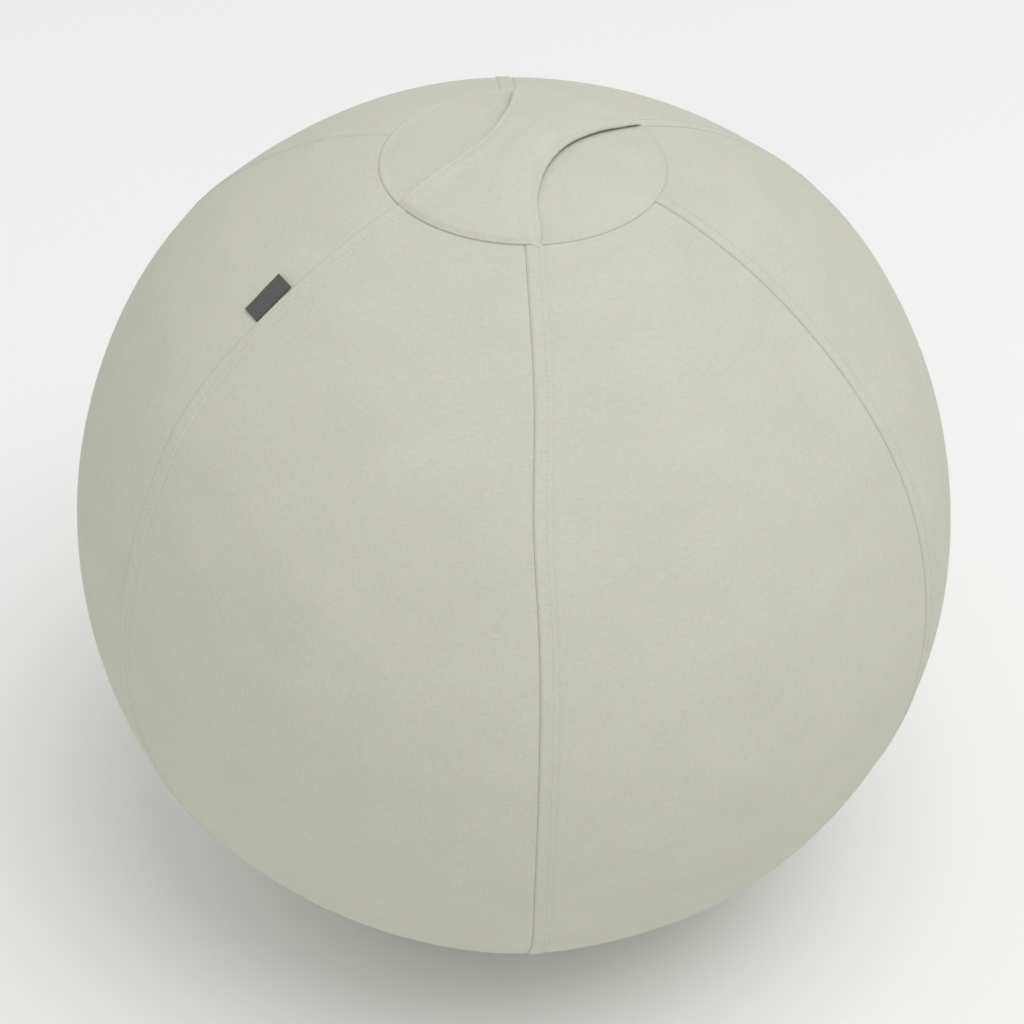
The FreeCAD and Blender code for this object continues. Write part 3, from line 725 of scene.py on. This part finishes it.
def droop(x, y, from_edge):
    """The edges sag nearly to the cap, least at the back right, where a hand has been in."""
    gap = band_under(x, y) - crown_height(np.hypot(x, y)) - 0.3 * mm
    towards_edge = 1 - smooth(from_edge / half_width(y), 0, 0.62)
    back_right = smooth(y, 38 * mm, 62 * mm) * smooth(x, 0, 15 * mm)
    left = smooth(-x, 0, 15 * mm)
    return gap * towards_edge * (0.93 - 0.16 * back_right - 0.69 * left)


def band_shape(x, y, from_edge):
    from_end = CAP_RADIUS - SEAM_HALF_GAP - np.hypot(x, y)
    thick = 2.3 * mm + 0.5 * mm * (1 - smooth(from_edge, HEM - 1.5 * mm, HEM + 1.5 * mm))
    thick = thick * (0.35 + 0.65 * smooth(from_end, 0, 3 * mm))
    under = band_under(x, y) + 0.25 * mm - droop(x, y, from_edge)
    under = under - 0.5 * mm * (1 - smooth(from_end, 0, 5 * mm))
    places = np.stack([x, y, 0 * x], -1)
    sag = 0.9 * mm * np.exp(-(((from_edge - 18 * mm) / (6.5 * mm)) ** 2))
    sway = 0.55 * mm * waves(places, 75 * mm, 21) + 0.25 * mm * waves(places, 28 * mm, 22)
    settled = smooth(from_end, 2 * mm, 20 * mm)
    under = under + (sway - sag) * settled
    furrow = 0.25 * mm * np.exp(-(((from_edge - BAND_STITCH) / (0.8 * mm)) ** 2))
    roll = 0.35 * mm * np.exp(-(((from_edge - 1.7 * mm) / (1.1 * mm)) ** 2))
    middle, half = under + thick / 2, thick / 2 * edge_share(from_edge)
    return middle - half, middle + half + (roll - furrow) * settled


def band_row(towards, part):
    """One row of the plan, from the sewn end at part 0 to the waist at part 1."""
    reach = towards * (1 - part) * SEWN_END
    width, flare = half_width(reach), front_flare(reach)
    left, right = -width + EDGE_STEPS, width + flare - EDGE_STEPS
    middle = left[-1] + np.linspace(0, 1, 15)[1:-1] * (right[-1] - left[-1])
    x = np.r_[left, middle, right[::-1]]
    bow = np.sqrt(np.maximum((CAP_RADIUS - SEAM_HALF_GAP) ** 2 - x**2, 0)) - SEWN_END
    far = np.maximum(bow, 0) * (1 - part) ** 2
    to_edge = np.minimum(x + width, width + flare - x)
    return np.stack([x, reach + towards * far, to_edge], -1)


EDGE_STEPS = mm * np.array(
    [0, 0.12, 0.45, 0.9, 1.5, 2.3, 2.9, 3.4, 3.8, 4.2, 4.7, 5.6, 7.5, 9.6, 11.6, 12.8, 14.5]
)
row_parts = np.r_[[0, 0.006, 0.014, 0.024, 0.036, 0.05], np.linspace(0.068, 1, 42)]


plan = np.array(
    [band_row(-1, part) for part in row_parts] + [band_row(1, part) for part in row_parts[-2::-1]]
)
band_low, band_high = band_shape(plan[..., 0], plan[..., 1], plan[..., 2])
band_top = np.concatenate([plan[..., :2], band_high[..., None]], -1)
band_bottom = np.concatenate([plan[..., :2], band_low[..., None]], -1)
waist_row = int(np.argmin(np.abs(plan[:, plan.shape[1] // 2, 1])))
print("band grid", plan.shape, "waist row", waist_row)

# %% [markdown]
# Each half is a closed tube of those two faces. Its ends are closed too, so that the mesh is
# a solid, and their rims are marked sharp, so that the closing faces don't bend the shading
# of the cloth beside them.

# %% Handle halves
def band_half(name, rows):
    top, bottom = band_top[rows], band_bottom[rows][:, 1:-1][:, ::-1]
    loop = np.concatenate([top, bottom], 1)
    faces = [tuple(f[::-1]) for f in grid_faces(*loop.shape[:2], round_and_round=True)]
    rim = loop.shape[1]
    ends = (0, (len(loop) - 1) * rim)
    for start, way in zip(ends, (-1, 1)):
        for k in range(top.shape[1] - 1):
            corners = (k, k + 1, (rim - k - 1) % rim, (rim - k) % rim)
            faces.append(tuple(start + corner for corner in dict.fromkeys(corners))[::way])
    place = loop[..., :2] + 0.5
    piece = new_piece(name, loop, faces, handle_finish, place)
    crisp = piece.data.attributes.new("sharp_edge", "BOOLEAN", "EDGE")
    for edge in piece.data.edges:
        rows_of_edge = {corner // rim for corner in edge.vertices}
        crisp.data[edge.index].value = rows_of_edge in ({0}, {len(loop) - 1})
    side = -1 if rows.start == 0 else 1
    return piece, (0, side * 0.085, 0.63), (0, side * 0.040, 0.63)


def follow_handle(piece, start, end):
    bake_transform(piece)
    return piece


front, *front_way = band_half("handle_front_half", slice(0, waist_row + 1))
back, *back_way = band_half("handle_back_half", slice(waist_row, None))
follow_handle(front, *front_way)
follow_handle(back, *back_way)
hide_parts("handle_front_wing", "handle_grip")
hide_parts("handle_back_wing")
print("handle points", len(front.data.vertices), len(back.data.vertices))


def band_stitches(name, side_y, way):
    points = []
    for side_x in (-1, 1):
        y = side_y * np.linspace(0.5 * mm, 88 * mm, 200)
        flare = front_flare(y) * (side_x > 0)
        x = side_x * (half_width(y) + flare - BAND_STITCH)
        kept = np.hypot(x, y) < CAP_RADIUS - 3 * mm
        x, y = x[kept], y[kept]
        _, high = band_shape(x, y, 0 * x + BAND_STITCH)
        line = np.stack([x, y, high + 0.12 * mm], -1)
        outward = line - np.array([0, 0, BAND_CENTRE])
        outward /= np.linalg.norm(outward, axis=1)[:, None]
        points.append(stitch_row(line, outward))
    points = np.vstack(points)
    piece = new_piece(name, points, stitch_faces(points), thread_finish)
    return follow_handle(piece, *way)


band_stitches("handle_front_stitches", -1, front_way)
band_stitches("handle_back_stitches", 1, back_way)

# %% [markdown]
# A short woven ribbon is folded over and caught by its cut ends in the front left seam. The
# ribbon is plain and bare. It hinges at the seam, so it rides a body of its own. It is made
# as one strip that runs out from the seam, turns round the fold and comes back on top.

# %% Side ribbon
RIBBON_AT = Matrix(
    (
        (0.43217, -0.84319, -0.31979, -0.098086),
        (0.67780, 0.53762, -0.50155, -0.168250),
        (0.59482, 0.0, 0.80386, 0.579085),
        (0, 0, 0, 1),
    )
)
RIBBON_LONG, RIBBON_WIDE = 32.5 * mm, 15.5 * mm


def ribbon_finish():
    finish = Finish("label_ribbon")
    place, across, along = cloth_axes(finish)
    ribs = (along * (2 * math.pi / (0.55 * mm))).sine()
    yarns = stretched_noise(finish, place, (3000, 500, 1))
    tone = 0.5 + 0.22 * ribs + 0.5 * (yarns - 0.5)
    dark, light = linear(66, 68, 65), linear(92, 94, 90)
    bump = finish.node("ShaderNodeBump", {}, {"Height": tone, "Distance": 0.06 * mm})
    return finish.set(
        Base_Color=mixed_colour(finish, tone, dark, light), Roughness=0.72, Normal=bump
    )


def side_ribbon():
    fold, low = 0.30 * mm, 0.22 * mm
    flat = np.linspace(-0.5 * mm, RIBBON_WIDE - 0.6 * mm, 26)
    turn = np.linspace(-math.pi / 2, math.pi / 2, 8)[1:-1]
    y = np.r_[flat, flat[-1] + fold * np.cos(turn) * 1.5, flat[::-1]]
    z = np.r_[0 * flat + low, low + fold * (1 + np.sin(turn)), 0 * flat + low + 2 * fold]
    x = np.linspace(-RIBBON_LONG / 2, RIBBON_LONG / 2, 40)
    xs, ys = np.meshgrid(x, y, indexing="ij")
    zs = np.broadcast_to(z, xs.shape).copy()
    out = np.clip(ys / RIBBON_WIDE, 0, 1)
    zs += 0.9 * mm * out**2 + 0.35 * mm * out * np.sin(xs / (6.5 * mm) + 0.8)
    zs += 0.5 * mm * out * (2 * xs / RIBBON_LONG) ** 2
    walked = np.r_[0, np.cumsum(np.hypot(np.diff(y), np.diff(z)))]
    place = np.stack([xs, np.broadcast_to(walked, xs.shape)], -1)
    points = np.stack([xs, ys, zs], -1).reshape(-1, 3)
    placed = [RIBBON_AT @ Vector(p) for p in points]
    piece = new_piece("side_ribbon", placed, grid_faces(*xs.shape), ribbon_finish(), place)
    solid = piece.modifiers.new("ribbon thickness", "SOLIDIFY")
    solid.thickness, solid.offset = 0.42 * mm, 0
    dress(piece, "label", "label_ribbon", "side_label")
    length = float(walked[-1])
    return length


print("ribbon length before folding", round(side_ribbon(), 4))

# %% [markdown]
# Under the gores a cone of the same cloth, the skirt, carries the lower half of the zip and
# is sewn to the non-slip base. Positions on it are measured up the slope from the floor edge,
# and inwards from its outside. Where the zip stops, the skirt goes on up to the gores: that
# stretch is the bridge, and its ends cover the ends of the zip's tapes.

# %% Skirt
SLOPE = math.radians(-52.015)
SKIRT_OUT = np.array([math.cos(SLOPE), math.sin(SLOPE)])
SKIRT_UP = np.array([-SKIRT_OUT[1], SKIRT_OUT[0]])
ZIP_LINE = 46 * mm


def skirt_point(up, inset=0.0):
    up, inset = np.asarray(up, float), np.asarray(inset, float)
    radius = SKIRT_FOOT[0] + up * SKIRT_UP[0] - inset * SKIRT_OUT[0]
    height = SKIRT_FOOT[1] + up * SKIRT_UP[1] - inset * SKIRT_OUT[1]
    return radius, height


def on_skirt(azimuth, up, inset):
    radius, height = skirt_point(up, inset)
    return np.stack([radius * np.sin(azimuth), -radius * np.cos(azimuth), height + 0 * azimuth], -1)


def skirt_sheet(name, start, stop, ups, inset, material, closed, offset=0.0):
    count = 361 if closed else 300
    turn = np.radians(np.linspace(start, stop, count))
    if closed:
        turn = turn[:-1]
    rise, azimuth = np.meshgrid(ups, turn, indexing="ij")
    depth = inset(rise, azimuth) if callable(inset) else inset + 0 * rise
    points = on_skirt(azimuth, rise, depth)
    place = np.stack([azimuth * 0.14, rise], -1)
    faces = [f[::-1] for f in grid_faces(*rise.shape, round_and_round=closed)]
    return new_piece(name, points, faces, material, place)


def skirt_depth(rise, azimuth):
    furrow = 0.35 * mm * np.exp(-(((rise - 35.5 * mm) / (0.8 * mm)) ** 2))
    sway = 0.25 * mm * np.sin(9 * azimuth + 1.3) * smooth(rise, 2 * mm, 12 * mm)
    return furrow + sway * (1 - smooth(rise, 28 * mm, 37 * mm))


skirt_rows = mm * np.r_[np.linspace(0, 31, 16), [33, 34.2, 34.9, 35.5, 36.1, 36.8, 38, 39]]
skirt = skirt_sheet("skirt_cloth", 0, 360, skirt_rows, skirt_depth, cover_finish, True)
dress(thicken(skirt, CLOTH), "root", "cover_cloth", "base_skirt")

bridge_turns = (291.5, 429.5)
bridge_rows = mm * np.array([38.8, 41, 44, 47, 50, 52.7])
bridge = skirt_sheet("skirt_bridge", *bridge_turns, bridge_rows, 0.0, cover_finish, False)
dress(thicken(bridge, CLOTH), "root", "cover_cloth")
bridge_radius = float(skirt_point(bridge_rows.mean())[0])

# %% [markdown]
# The ball stands on a disc of coated cloth with raised dots that grip the floor. The disc is
# turned from a short outline. The dots lie in staggered rows, like the holes of a colander,
# and each is a small flat dome that hangs under the disc and touches the floor.

# %% Non-slip base
DISC_RADIUS, DISC_LOW, DISC_HIGH = 120 * mm, 0.8 * mm, 3.0 * mm
DOT_PITCH, DOT_SIDES = 7 * mm, 8
DOT_RINGS = [(1.7 * mm, DISC_LOW + 0.05 * mm), (1.55 * mm, 0.35 * mm), (0.9 * mm, 0.0)]


def dot_places():
    places = []
    for row in range(-20, 21):
        for column in range(-20, 21):
            x = (column + 0.5 * (row % 2)) * DOT_PITCH
            y = row * DOT_PITCH * math.sin(math.radians(60))
            if math.hypot(x, y) < DISC_RADIUS - 5 * mm:
                places.append((x, y))
    return places


def dot(x, y):
    points = [
        (x + r * math.cos(turn), y + r * math.sin(turn), z)
        for r, z in DOT_RINGS
        for turn in round_turn(DOT_SIDES)
    ]
    faces = [tuple(f) for f in grid_faces(3, DOT_SIDES, round_and_round=True)]
    faces.append(tuple(range(2 * DOT_SIDES, 3 * DOT_SIDES))[::-1])
    faces.append(tuple(range(DOT_SIDES)))
    return points, faces


def disc():
    turn, rim = round_turn(96), DISC_RADIUS
    outline = [
        (0.5 * rim, DISC_HIGH), (rim - 0.6 * mm, DISC_HIGH), (rim, DISC_HIGH - 0.5 * mm),
        (rim, DISC_LOW + 0.5 * mm), (rim - 0.6 * mm, DISC_LOW), (0.5 * rim, DISC_LOW),
    ]
    points = [(r * math.cos(t), r * math.sin(t), z) for r, z in outline for t in turn]
    faces = [tuple(f) for f in grid_faces(len(outline), len(turn), round_and_round=True)]
    faces += fan(len(points), 0, len(turn))
    faces += fan(len(points) + 1, len(points) - len(turn), len(turn), -1)
    return points + [(0, 0, DISC_HIGH), (0, 0, DISC_LOW)], faces


def joined(shapes):
    """Several sets of points and faces as one."""
    points, faces, start = [], [], 0
    for some_points, some_faces in shapes:
        points.append(np.asarray(some_points))
        faces += [tuple(corner + start for corner in face) for face in some_faces]
        start += len(some_points)
    return np.vstack(points), faces


dots = [dot(*place) for place in dot_places()]
base = new_piece("base_disc", *joined([disc()] + dots), base_finish)
dress(base, "root", "base_cloth", "base_pad")
print("non-slip dots", len(dots))

# %% [markdown]
# The zip runs three fifths of the way round the skirt, so that the ball can be taken out. It
# has two woven tapes, moulded teeth that interlock, end stops, a slider and a pull. The teeth
# are one shape repeated: a block that grips the tape, a neck, and a head that is wider.

# %% Zip tapes
TAPE_START, TAPE_STOP = 180 - 112.5, 180 + 112.5
TAPE_WIDTH, TAPE_GAP = 14 * mm, 1.4 * mm


def zip_tape_sheet(name, node, low):
    high = low + TAPE_WIDTH
    rows = np.linspace(low, high, 7)
    tape = skirt_sheet(name, TAPE_START, TAPE_STOP, rows, 1.75 * mm, tape_finish, False)
    dress(thicken(tape, 0.6 * mm), "root", "zip_tape", node)
    middle = float(skirt_point((low + high) / 2, 2 * mm)[0])


zip_tape_sheet("upper_tape", "zip_tape_upper", ZIP_LINE + TAPE_GAP)
zip_tape_sheet("lower_tape", "zip_tape_lower", ZIP_LINE - TAPE_GAP - TAPE_WIDTH)

# %% [markdown]
# A tooth is drawn as half an outline, reach along the skirt and half width, and mirrored. Four
# shrinking copies of the outline, from inside to outside, round off its face. The lower row
# is shifted by half a pitch, so that each head sits between two necks of the other row.

# %% Zip teeth
TEETH_IN_ROW, TOOTH_PITCH, TOOTH_HALF = 84, 7 * mm, 1.3 * mm
TEETH_SWEEP = math.radians(214.324)
HALF_TOOTH = [
    (-1.2, 0.62), (-0.9, 1.0), (0.3, 1.0), (1.0, 0.66),
    (1.9, 0.66), (2.5, 1.0), (4.0, 1.0), (4.2, 0.8),
]
TOOTH_OUTLINE = HALF_TOOTH + [(reach, -wide) for reach, wide in HALF_TOOTH[::-1]]
TOOTH_LEVELS = [(1.7 * mm, 0.96), (0.1 * mm, 1.0), (-0.18 * mm, 0.94), (-0.3 * mm, 0.78)]


def tooth(azimuth, side):
    points = []
    for inset, shrink in TOOTH_LEVELS:
        for reach, wide in TOOTH_OUTLINE:
            rise = ZIP_LINE + side * (1.5 + (reach - 1.5) * shrink) * mm
            radius, height = skirt_point(rise, inset)
            turn = azimuth + wide * TOOTH_HALF * shrink / float(radius)
            points.append((radius * math.sin(turn), -radius * math.cos(turn), height))
    size, levels = len(TOOTH_OUTLINE), len(TOOTH_LEVELS)
    walls = grid_faces(levels, size, round_and_round=True)[:, ::-1]
    faces = [tuple(range(size))[::-1], tuple(range(size * (levels - 1), size * levels))]
    return points, [tuple(f)[::side] for f in faces + [tuple(f) for f in walls]]


def zip_teeth_row(name, node, side, first):
    azimuths = first + np.arange(TEETH_IN_ROW) * TOOTH_ANGLE
    shape = joined([tooth(azimuth, side) for azimuth in azimuths])
    piece = new_piece(name, *shape, teeth_finish)
    piece.data.shade_flat()
    dress(piece, "root", "zip_teeth", node)


TOOTH_ANGLE = TOOTH_PITCH / float(skirt_point(ZIP_LINE)[0])
first_tooth = math.pi - TEETH_SWEEP / 2
zip_teeth_row("upper_teeth", "zip_teeth_upper", 1, first_tooth)
zip_teeth_row("lower_teeth", "zip_teeth_lower", -1, first_tooth + TOOTH_ANGLE / 2)
print("teeth", 2 * TEETH_IN_ROW)

# %% [markdown]
# The slider and its pull are small zinc castings. Both are slabs with rounded edges, stacked
# from outlines that shrink a little at the top and bottom. The helpers come first: a slab, a
# rectangle with round corners and a bent bar.

# %% Casting helpers
def slab(outline, low, high, rounding):
    """A slab with rounded edges: outline is counter-clockwise, in its own X and Y."""
    outline = np.asarray(outline, float)
    ahead, behind = np.roll(outline, -1, 0), np.roll(outline, 1, 0)
    tangent = ahead - behind
    tangent /= np.linalg.norm(tangent, axis=1)[:, None]
    inward = np.stack([-tangent[:, 1], tangent[:, 0]], -1)
    loops = []
    for height, inset in (
        (low, rounding), (low + 0.3 * rounding, 0.3 * rounding), (low + rounding, 0),
        (high - rounding, 0), (high - 0.3 * rounding, 0.3 * rounding), (high, rounding),
    ):
        flat = outline + inward * inset
        loops.append(np.c_[flat, np.full(len(flat), height)])
    count = len(outline)
    faces = [tuple(f[::-1]) for f in grid_faces(len(loops), count, round_and_round=True)]
    faces.append(tuple(range(count))[::-1])
    faces.append(tuple(range(5 * count, 6 * count)))
    return np.vstack(loops), faces


def rounded_rectangle(half_x, half_y, corner, steps=5):
    points = []
    x, y = half_x - corner, half_y - corner
    for centre, start in (((x, y), 0), ((-x, y), 90), ((-x, -y), 180), ((x, -y), 270)):
        angle = np.radians(np.linspace(start, start + 90, steps))
        points.append(np.c_[np.cos(angle), np.sin(angle)] * corner + centre)
    return np.vstack(points) * mm


def swept_bar(path, radius, sides=10):
    """A round bar along a path in the X-Z plane."""
    path = np.array(path, float)
    tangent = np.gradient(path, axis=0)
    tangent /= np.linalg.norm(tangent, axis=1)[:, None]
    points = []
    for (x, z), (tx, tz) in zip(path, tangent):
        for angle in round_turn(sides):
            side = radius * math.cos(angle)
            points.append((x - tz * side, radius * math.sin(angle), z + tx * side))
    faces = [tuple(f) for f in grid_faces(len(path), sides, round_and_round=True)]
    faces.append(tuple(range(sides)))
    faces.append(tuple(range((len(path) - 1) * sides, len(path) * sides))[::-1])
    return np.array(points), faces


print("corner points", len(rounded_rectangle(1, 1, 0.5)))

# %% [markdown]
# The slider waits at the closed end of the zip. Its own axes run along the zip, up the skirt
# and out of it. Two plates, a post between them and two lips make the body, and a bent bar on
# top, the bail, carries the pull.

# %% Slider
slider_azimuth = math.radians(287.162)
slider_radius, slider_height = (float(v) for v in skirt_point(ZIP_LINE))
slider_along = Vector((math.cos(slider_azimuth), math.sin(slider_azimuth), 0))
slider_face = Vector((math.sin(slider_azimuth), -math.cos(slider_azimuth), 0))
slider_up = slider_face * SKIRT_UP[0] + Vector((0, 0, SKIRT_UP[1]))
slider_out = slider_face * SKIRT_OUT[0] + Vector((0, 0, SKIRT_OUT[1]))
SLIDER_AT = Matrix((slider_along, slider_up, slider_out)).transposed().to_4x4()
SLIDER_AT.translation = slider_face * slider_radius + Vector((0, 0, slider_height))
print("slider at", [round(v, 4) for v in SLIDER_AT.translation])


def cast_piece(name, shape, at, body, node):
    points, faces = shape
    piece = new_piece(name, [at @ Vector(p) for p in points], faces, metal_finish)
    return dress(piece, body, "zip_metal", node)


def slider_shape():
    plate = rounded_rectangle(6.0, 5.5, 2.4)
    plate[:, 1] *= 0.80 + 0.20 * smooth(plate[:, 0], -5 * mm, 3 * mm)
    post = rounded_rectangle(1.3, 0.75, 0.5) + (4 * mm, 0)
    lip = rounded_rectangle(4.2, 0.4, 0.3)
    half_bail = [(-2.7, 1.7), (-2.75, 2.6), (-2.7, 3.5), (-2.3, 4.4), (-1.5, 4.85)]
    bail = half_bail + [(0, 4.95)] + [(-x, z) for x, z in half_bail[::-1]]
    return joined(
        [
            slab(plate, 0.8 * mm, 2.0 * mm, 0.4 * mm),
            slab(plate * (1, 0.98), -4.1 * mm, -2.9 * mm, 0.4 * mm),
            slab(post, -3.0 * mm, 0.9 * mm, 0.05 * mm),
            slab(lip + (0.2 * mm, -4.9 * mm), -1.2 * mm, 1.0 * mm, 0.15 * mm),
            slab(lip + (0.2 * mm, 4.9 * mm), -1.2 * mm, 1.0 * mm, 0.15 * mm),
            swept_bar(np.array(bail) * mm, 0.75 * mm),
        ]
    )


slider = cast_piece("slider_casting", slider_shape(), SLIDER_AT, "slider", "zip_slider")
print("slider faces", len(slider.data.polygons))

# %% [markdown]
# The pull is a flat tab with a round eye at its top, which hangs on the bail. It is a tube of
# loops: round the outside from back to front, then back through the eye.

# %% Pull
PULL_EYE, PULL_HEAD, PULL_FOOT, PULL_LOW = 1.35, 2.4, 3.25, -15.75
BAIL_HEIGHT = 4.9 * mm


def pull_shape():
    upper = np.linspace(0, math.pi, 24)
    lower = upper + math.pi
    head = PULL_HEAD * np.c_[np.cos(upper), np.sin(upper)]
    foot = PULL_FOOT * np.c_[np.cos(lower), np.sin(lower)] + (0, PULL_LOW)
    outer = np.vstack([head, foot])
    count = len(outer)
    turn = round_turn(count)
    eye = PULL_EYE * np.c_[np.cos(turn), np.sin(turn)]
    inward = outer.mean(0) - outer
    inward /= np.linalg.norm(inward, axis=1)[:, None]
    loops = []
    for inset, depth in ((0.35, -0.6), (0.05, -0.45), (0, 0), (0.05, 0.45), (0.35, 0.6)):
        edge = outer + inward * inset
        loops.append(np.c_[edge[:, 0], np.full(count, depth), edge[:, 1]])
    loops += [np.c_[eye[:, 0], np.full(count, depth), eye[:, 1]] for depth in (0.6, 0, -0.6)]
    faces = grid_faces(len(loops) + 1, count, round_and_round=True) % (len(loops) * count)
    return np.vstack(loops) * mm, [tuple(f) for f in faces]


PULL_AT = Matrix((slider_along, -slider_face, Vector((0, 0, 1)))).transposed().to_4x4()
PULL_AT.translation = SLIDER_AT @ Vector((0, 0, BAIL_HEIGHT))
pull = cast_piece("pull_tab", pull_shape(), PULL_AT, "pull", "zip_pull")
print("pull faces", len(pull.data.polygons))

# %% [markdown]
# Inside the cover is the air ball of blown vinyl. It presses against the cloth everywhere,
# so it takes the cover's own soft hexagon, a little smaller, and lies on the sand pouch.

# %% Air ball
BALL_INSET = 3.5 * mm
BALL_COLUMNS = 180


def pressed_foot(radius):
    """Height of the ball's underside, which is pressed flatter than the rest."""
    return 360 * mm - math.sqrt((357.1 * mm) ** 2 - radius**2)


def ball_rows():
    azimuths = round_turn(BALL_COLUMNS)
    walks = np.linspace(4 * mm, gore_end_walk - 20 * mm, 150)
    walk, azimuth = np.meshgrid(walks, azimuths, indexing="ij")
    rows = [round_point(azimuth, walk, fullness(azimuth, walk) - BALL_INSET).reshape(-1, 3)]
    radius, height, out, up = (float(v) for v in meridian_at(walks[-1]))
    rim, rim_height = radius - BALL_INSET * out, height - BALL_INSET * up
    for share in np.linspace(0, 1, 31)[1:]:
        reach = rim * (1 - share) + 50 * mm * share
        eased = (rim_height - pressed_foot(rim)) * (1 - share) ** 3
        level = max(pressed_foot(reach), 3.4 * mm) + eased
        ring = np.c_[reach * np.sin(azimuths), -reach * np.cos(azimuths)]
        rows.append(np.c_[ring, np.full(BALL_COLUMNS, level)])
    return np.vstack(rows)


def air_ball():
    points = ball_rows()
    total = len(points)
    faces = grid_faces(total // BALL_COLUMNS, BALL_COLUMNS, round_and_round=True)
    faces = [tuple(f) for f in faces] + fan(total, 0, BALL_COLUMNS)
    faces += fan(total + 1, total - BALL_COLUMNS, BALL_COLUMNS, -1)
    poles = [[0, 0, points[:BALL_COLUMNS, 2].mean()], [0, 0, 3.4 * mm]]
    piece = new_piece("air_ball", np.vstack([points, poles]), faces, vinyl_finish)
    return dress(piece, "root", "ball_vinyl", "inner_ball")


print("air ball points", len(air_ball().data.vertices))

# %% [markdown]
# On the floor inside the cover lies the weight that stops the ball rolling: a ring-shaped
# pouch filled with sand. The pouch is padded cloth, the sand keeps its CAD solid.

# %% Weight pouch
def weight_pouch():
    outline = [(58.6, 3.9), (60, 3.35), (85, 3.3), (109, 3.35)]
    outline += [(111.6, 4.4), (112, 8), (111.9, 17), (111.2, 19.9)]
    outline += [(r, 360 - math.sqrt(357.3**2 - r**2)) for r in (109, 100, 90, 80, 70, 62)]
    section = mm * np.array(outline + [(58.7, 6.9), (58.0, 5.6)])
    angle, radius = np.meshgrid(round_turn(180), section[:, 0], indexing="ij")
    height = np.broadcast_to(section[:, 1], radius.shape)
    points = np.stack([radius * np.sin(angle), -radius * np.cos(angle), height], -1)
    total = points.shape[0] * points.shape[1]
    faces = grid_faces(len(points) + 1, len(section), round_and_round=True) % total
    steps = np.broadcast_to(np.arange(len(section)) * 0.008, radius.shape)
    place = np.stack([angle * 0.085, steps], -1)
    piece = new_piece("sand_pouch", points, faces, lining_finish, place)
    dress(piece, "root", "pouch_cloth", "weight_pouch_bottom", "weight_pouch_top")
    return piece


print("pouch points", len(weight_pouch().data.vertices))

# %% [markdown]
# Four solids keep their CAD shape and only get a finish: the sand, the two parts of the air
# valve and the zip's end stops.

# %% Kept solids
kept_nodes = {
    "weight_filling": grainy(
        "sand", linear(196, 178, 146), linear(214, 198, 168), 2200, 0.85, 0.08, 0.1 * mm
    ),
    "valve_seat": grainy(
        "valve_plastic", linear(224, 224, 220), linear(232, 232, 228), 300, 0.4, 0.08, 0.1 * mm
    ),
    "valve_plug": grainy(
        "plug_plastic", linear(228, 228, 224), linear(236, 236, 232), 300, 0.38, 0.08, 0.1 * mm
    ),
    "zip_stops": metal_finish,
}
for node, material in kept_nodes.items():
    shown = bpy.data.objects[node]
    shown.data.materials.clear()
    shown.data.materials.append(material)
print("CAD nodes kept", sorted(kept_nodes))

# %% [markdown]
# The studio is a pale round floor and an even soft light. The world lights from all around
# and one large soft lamp, up in front and to the right, gives the ball its gentle shading.
# The camera itself sees a plain light grey instead of the world's light.

# %% Floor
def floor():
    sides, reach = 128, 6
    points = [(0, 0, 0)]
    points += [(reach * math.sin(t), -reach * math.cos(t), 0) for t in round_turn(sides)]
    material = grainy(
        "studio_floor", linear(245, 245, 245), linear(247, 247, 247), 1, 1.0, 0,
        Specular_IOR_Level=0.0,
    )
    ground = new_piece("studio_floor", points, fan(0, 1, sides), material)


floor()
print("floor laid")

# %% Light and background
world = bpy.data.worlds.new("studio")
world.use_nodes = True
bpy.context.scene.world = world
tree = world.node_tree
lit = tree.nodes["Background"]
lit.inputs["Color"].default_value = (1, 1, 1, 1)
lit.inputs["Strength"].default_value = 0.655
seen = tree.nodes.new("ShaderNodeBackground")
seen.inputs["Color"].default_value = linear(240, 240, 240)
seen.inputs["Strength"].default_value = 1.0
path = tree.nodes.new("ShaderNodeLightPath")
either = tree.nodes.new("ShaderNodeMath")
either.operation, either.use_clamp = "ADD", True
mixed = tree.nodes.new("ShaderNodeMixShader")
for source, target in (
    (path.outputs["Is Camera Ray"], either.inputs[0]),
    (path.outputs["Is Glossy Ray"], either.inputs[1]),
    (either.outputs[0], mixed.inputs[0]),
    (lit.outputs[0], mixed.inputs[1]),
    (seen.outputs[0], mixed.inputs[2]),
    (mixed.outputs[0], tree.nodes["World Output"].inputs["Surface"]),
):
    tree.links.new(source, target)

lamp = bpy.data.objects.new("soft lamp", bpy.data.lights.new("soft lamp", "AREA"))
lamp.data.shape, lamp.data.size, lamp.data.energy = "DISK", 5.0, 160
lamp.location = (1.9, -0.5, 6.05)
lamp.rotation_euler = (BALL_CENTRE - lamp.location).to_track_quat("-Z", "Y").to_euler()
bpy.context.scene.collection.objects.link(lamp)
bpy.context.scene.view_settings.view_transform = "Standard"
print("lamp distance", round((BALL_CENTRE - lamp.location).length, 2))
